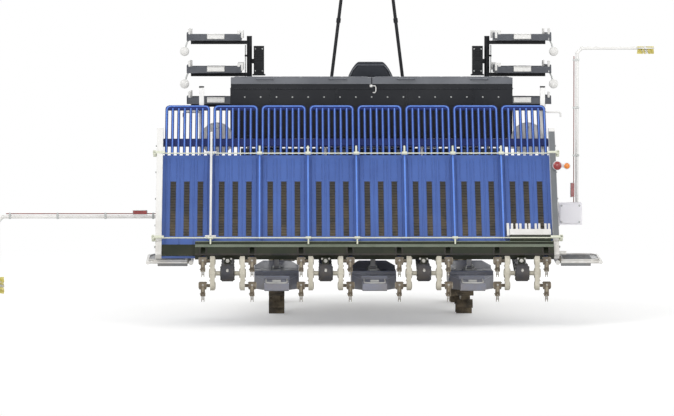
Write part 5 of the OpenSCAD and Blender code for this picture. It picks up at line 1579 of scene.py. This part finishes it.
def make_engine_details():
    """Top covers, fins, air cleaner, filler and two grooved pulleys."""
    engine, dark = Form(), Form()
    engine.block((-120, 1180, 918), (120, 1470, 948))
    engine.block((-100, 1195, 946), (100, 1455, 958))
    for k in range(6):
        engine.block((-192, 1150 + 62 * k, 640), (192, 1162 + 62 * k, 880))
    dark.turned([(0, 46), (160, 46), (166, 40)], (-80, 1158, 960), (1, 0, 0), 32)
    dark.turned([(0, 20), (16, 24), (26, 22)], (60, 1400, 957), UP, 24)
    for x, z, r, groove, sides in ((0, 760, 70, 62, 40), (110, 850, 40, 34, 32)):
        profile = [(0, r), (8, r), (8, groove), (18, groove), (18, r), (26, r)]
        dark.turned(profile, (x, 1540, z), AHEAD, sides)
    engine.piece("engine_ribs", "chassis", engine_dark, bevel=3)
    dark.piece("engine_fittings", "chassis", dark_plastic, bevel=1)


# Deck, front guard and links

SEAT_RAIL = ((-40, 1036), (-40, 1180), (-20, 1206), (230, 1206), (256, 1184), (256, 1036))
SEAT_RAIL_X = 330
FILLER = Vector((400, 330, DECK_Z))


def make_deck_details():
    panels, bolts, cap, rails = Form(), Form(), Form(), Form()
    for s in SIDES:
        for y0, y1 in ((-60, 180), (220, 400)):
            panels.block((s * 471.5 - 2.5, y0, 760), (s * 471.5 + 2.5, y1, 1000))
            bolts.bolts([(s * 474, y, z) for y in (y0 + 10, y1 - 10) for z in (770, 990)], (s, 0, 0), 9, 3)
        for k in range(6):
            panels.block((s * 472.5 - 3, 246, 800 + 26 * k), (s * 472.5 + 3, 374, 810 + 26 * k))
        # Low guard rails beside the seat.
        x = s * SEAT_RAIL_X
        rails.tube([(x, y, z) for y, z in SEAT_RAIL], 10, 12)
        for y in (SEAT_RAIL[0][0], SEAT_RAIL[-1][0]):
            bolts.rod((x, y, DECK_Z - 1), (x, y, DECK_Z + 5), 22, 24)
    for z in (800, 860, 920):
        panels.block((-300, 428, z), (300, 433.5, z + 14))
    panels.block((-340, 428, 740), (340, 432, 990))
    # Filler cap with grips round it.
    cap.turned([(0, 42), (6, 44), (22, 44), (27, 38), (28, 16)], FILLER, UP, 36)
    for low in circle(FILLER + 6 * UP, 44, 12, plane="xy"):
        cap.rod(low, low + 16 * UP, 4, 8)
    panels.piece("deck_panels", "chassis", cover_white, bevel=1.5)
    bolts.piece("deck_fasteners", "chassis", zinc)
    cap.piece("filler_cap", "chassis", dark_plastic, bevel=1)
    rails.piece("seat_side_rails", "chassis", dark_plastic)


def make_guard_and_link_details():
    bolts, caps, lower, upper = Form(), Form(), Form(), Form()
    lower_z, upper_z = LINK_PIN_Z
    bolts.bolts([(x, 1592, z) for x in (-200, 200) for z in (545, 620)], AHEAD, 12, 6)
    for s in SIDES:
        caps.turned([(0, 16.8), (3, 15), (5, 9)], (s * 221, 1680, 640), (s, 0, 0), 24)
        for y in (CHASSIS_PIN_Y, SECTION_PIN_Y):
            lower.rod((s * 147, y, lower_z), (s * 173, y, lower_z), 27.5, 28)
        lower.block((s * 160 - 13, -640, lower_z - 4), (s * 160 + 13, -280, lower_z + 4))
        upper.block((s * 75 - 13, -650, upper_z - 4), (s * 75 + 13, -270, upper_z + 4))
    bolts.piece("guard_bolts", "chassis", zinc)
    caps.piece("guard_caps", "chassis", dark_plastic)
    lower.piece("lower_link_bosses", "lower_links", frame_grey, bevel=1)
    upper.piece("upper_link_ribs", "upper_link", frame_grey, bevel=1)


make_chassis_details()
make_knuckle_details("left", -KINGPIN_X)
make_knuckle_details("right", KINGPIN_X)
make_floor_details()
make_pedals()
make_dash_panel()
make_levers_and_seams()
make_steering_wheel_details()
make_bonnet_details()
make_engine_details()
make_deck_details()
make_guard_and_link_details()


# Stage: places and sizes are metres in the shared frame

FLOOR_RADIUS = 260
NEAR_GLOW = 0.25
PALE_UNTIL, WHITE_FROM = 3.5, 8.0
LIGHT_OF_WORLD, LOOK_OF_WORLD = 0.64, 1.0
WHITE = (1, 1, 1, 1)

# Name, place, aim, size, watts
LAMPS = (("key", (-9.0, -11.0, 9.0), (0.2, -0.6, 0.8), 8.0, 790),
         ("fill", (11.0, -9.0, 5.5), (0.3, -0.4, 0.8), 8.0, 400),
         ("rear", (1.5, -15.0, 2.6), (0.2, -1.0, 0.9), 6.0, 320),
         ("front", (2.0, 12.0, 9.0), (0.3, 0.2, 0.8), 8.0, 600))


def make_floor_material():
    """Pale near the machine, and further away as white as the backdrop."""
    pale = bpy.data.materials.new("floor_pale")
    pale.use_nodes = True
    tree = pale.node_tree
    shader = tree.nodes["Principled BSDF"]
    shader.inputs["Base Color"].default_value = (0.86, 0.86, 0.855, 1)
    shader.inputs["Roughness"].default_value = 0.9
    shader.inputs["Specular IOR Level"].default_value = 0.1
    glow = add_node(tree, "Emission", {"Color": WHITE, "Strength": NEAR_GLOW})
    near = add_node(tree, "AddShader", {0: shader.outputs[0], 1: glow.outputs[0]})
    place = add_node(tree, "TexCoord").outputs["Object"]
    distance = add_node(tree, "VectorMath", {0: place}, operation="LENGTH").outputs["Value"]
    far = add_node(tree, "MapRange", {"Value": distance, "From Min": PALE_UNTIL, "From Max": WHITE_FROM},
                   interpolation_type="SMOOTHSTEP").outputs["Result"]
    plain = add_node(tree, "Emission", {"Color": WHITE, "Strength": 1.0})
    shown = add_node(tree, "MixShader", {0: far, 1: near.outputs[0], 2: plain.outputs[0]})
    seen = add_node(tree, "LightPath").outputs["Is Camera Ray"]
    pick = add_node(tree, "MixShader", {0: seen, 1: shader.outputs[0], 2: shown.outputs[0]})
    tree.links.new(pick.outputs[0], tree.nodes["Material Output"].inputs["Surface"])
    return pale


def make_floor():
    floor = bpy.data.objects.new("floor", bpy.data.meshes.new("floor"))
    bpy.context.scene.collection.objects.link(floor)
    bm = bmesh.new()
    bmesh.ops.create_circle(bm, cap_ends=True, segments=96, radius=FLOOR_RADIUS)
    bm.to_mesh(floor.data)
    bm.free()
    floor.location.z = -0.0005
    floor.data.materials.append(make_floor_material())


def make_world():
    """White where it is looked at, and dimmer where it only lights."""
    world = bpy.data.worlds.new("studio")
    bpy.context.scene.world = world
    world.use_nodes = True
    tree = world.node_tree
    path = add_node(tree, "LightPath").outputs
    mirrored = add_node(tree, "Math", {0: path["Is Glossy Ray"], 1: path["Is Transmission Ray"]},
                        operation="MAXIMUM").outputs[0]
    seen = add_node(tree, "Math", {0: path["Is Camera Ray"], 1: mirrored}, operation="MAXIMUM").outputs[0]
    strength = add_node(tree, "MapRange", {"Value": seen, "To Min": LIGHT_OF_WORLD, "To Max": LOOK_OF_WORLD})
    back = tree.nodes["Background"]
    back.inputs["Color"].default_value = WHITE
    tree.links.new(strength.outputs["Result"], back.inputs["Strength"])


def make_lamp(name, place, target, size, watts):
    data = bpy.data.lights.new(name, "AREA")
    data.energy, data.size = watts, size
    lamp = bpy.data.objects.new(name, data)
    bpy.context.scene.collection.objects.link(lamp)
    lamp.location = place
    lamp.rotation_euler = (Vector(target) - Vector(place)).to_track_quat("-Z", "Y").to_euler()


make_floor()
make_world()
for lamp in LAMPS:
    make_lamp(*lamp)
bpy.context.scene.view_settings.view_transform = "Standard"
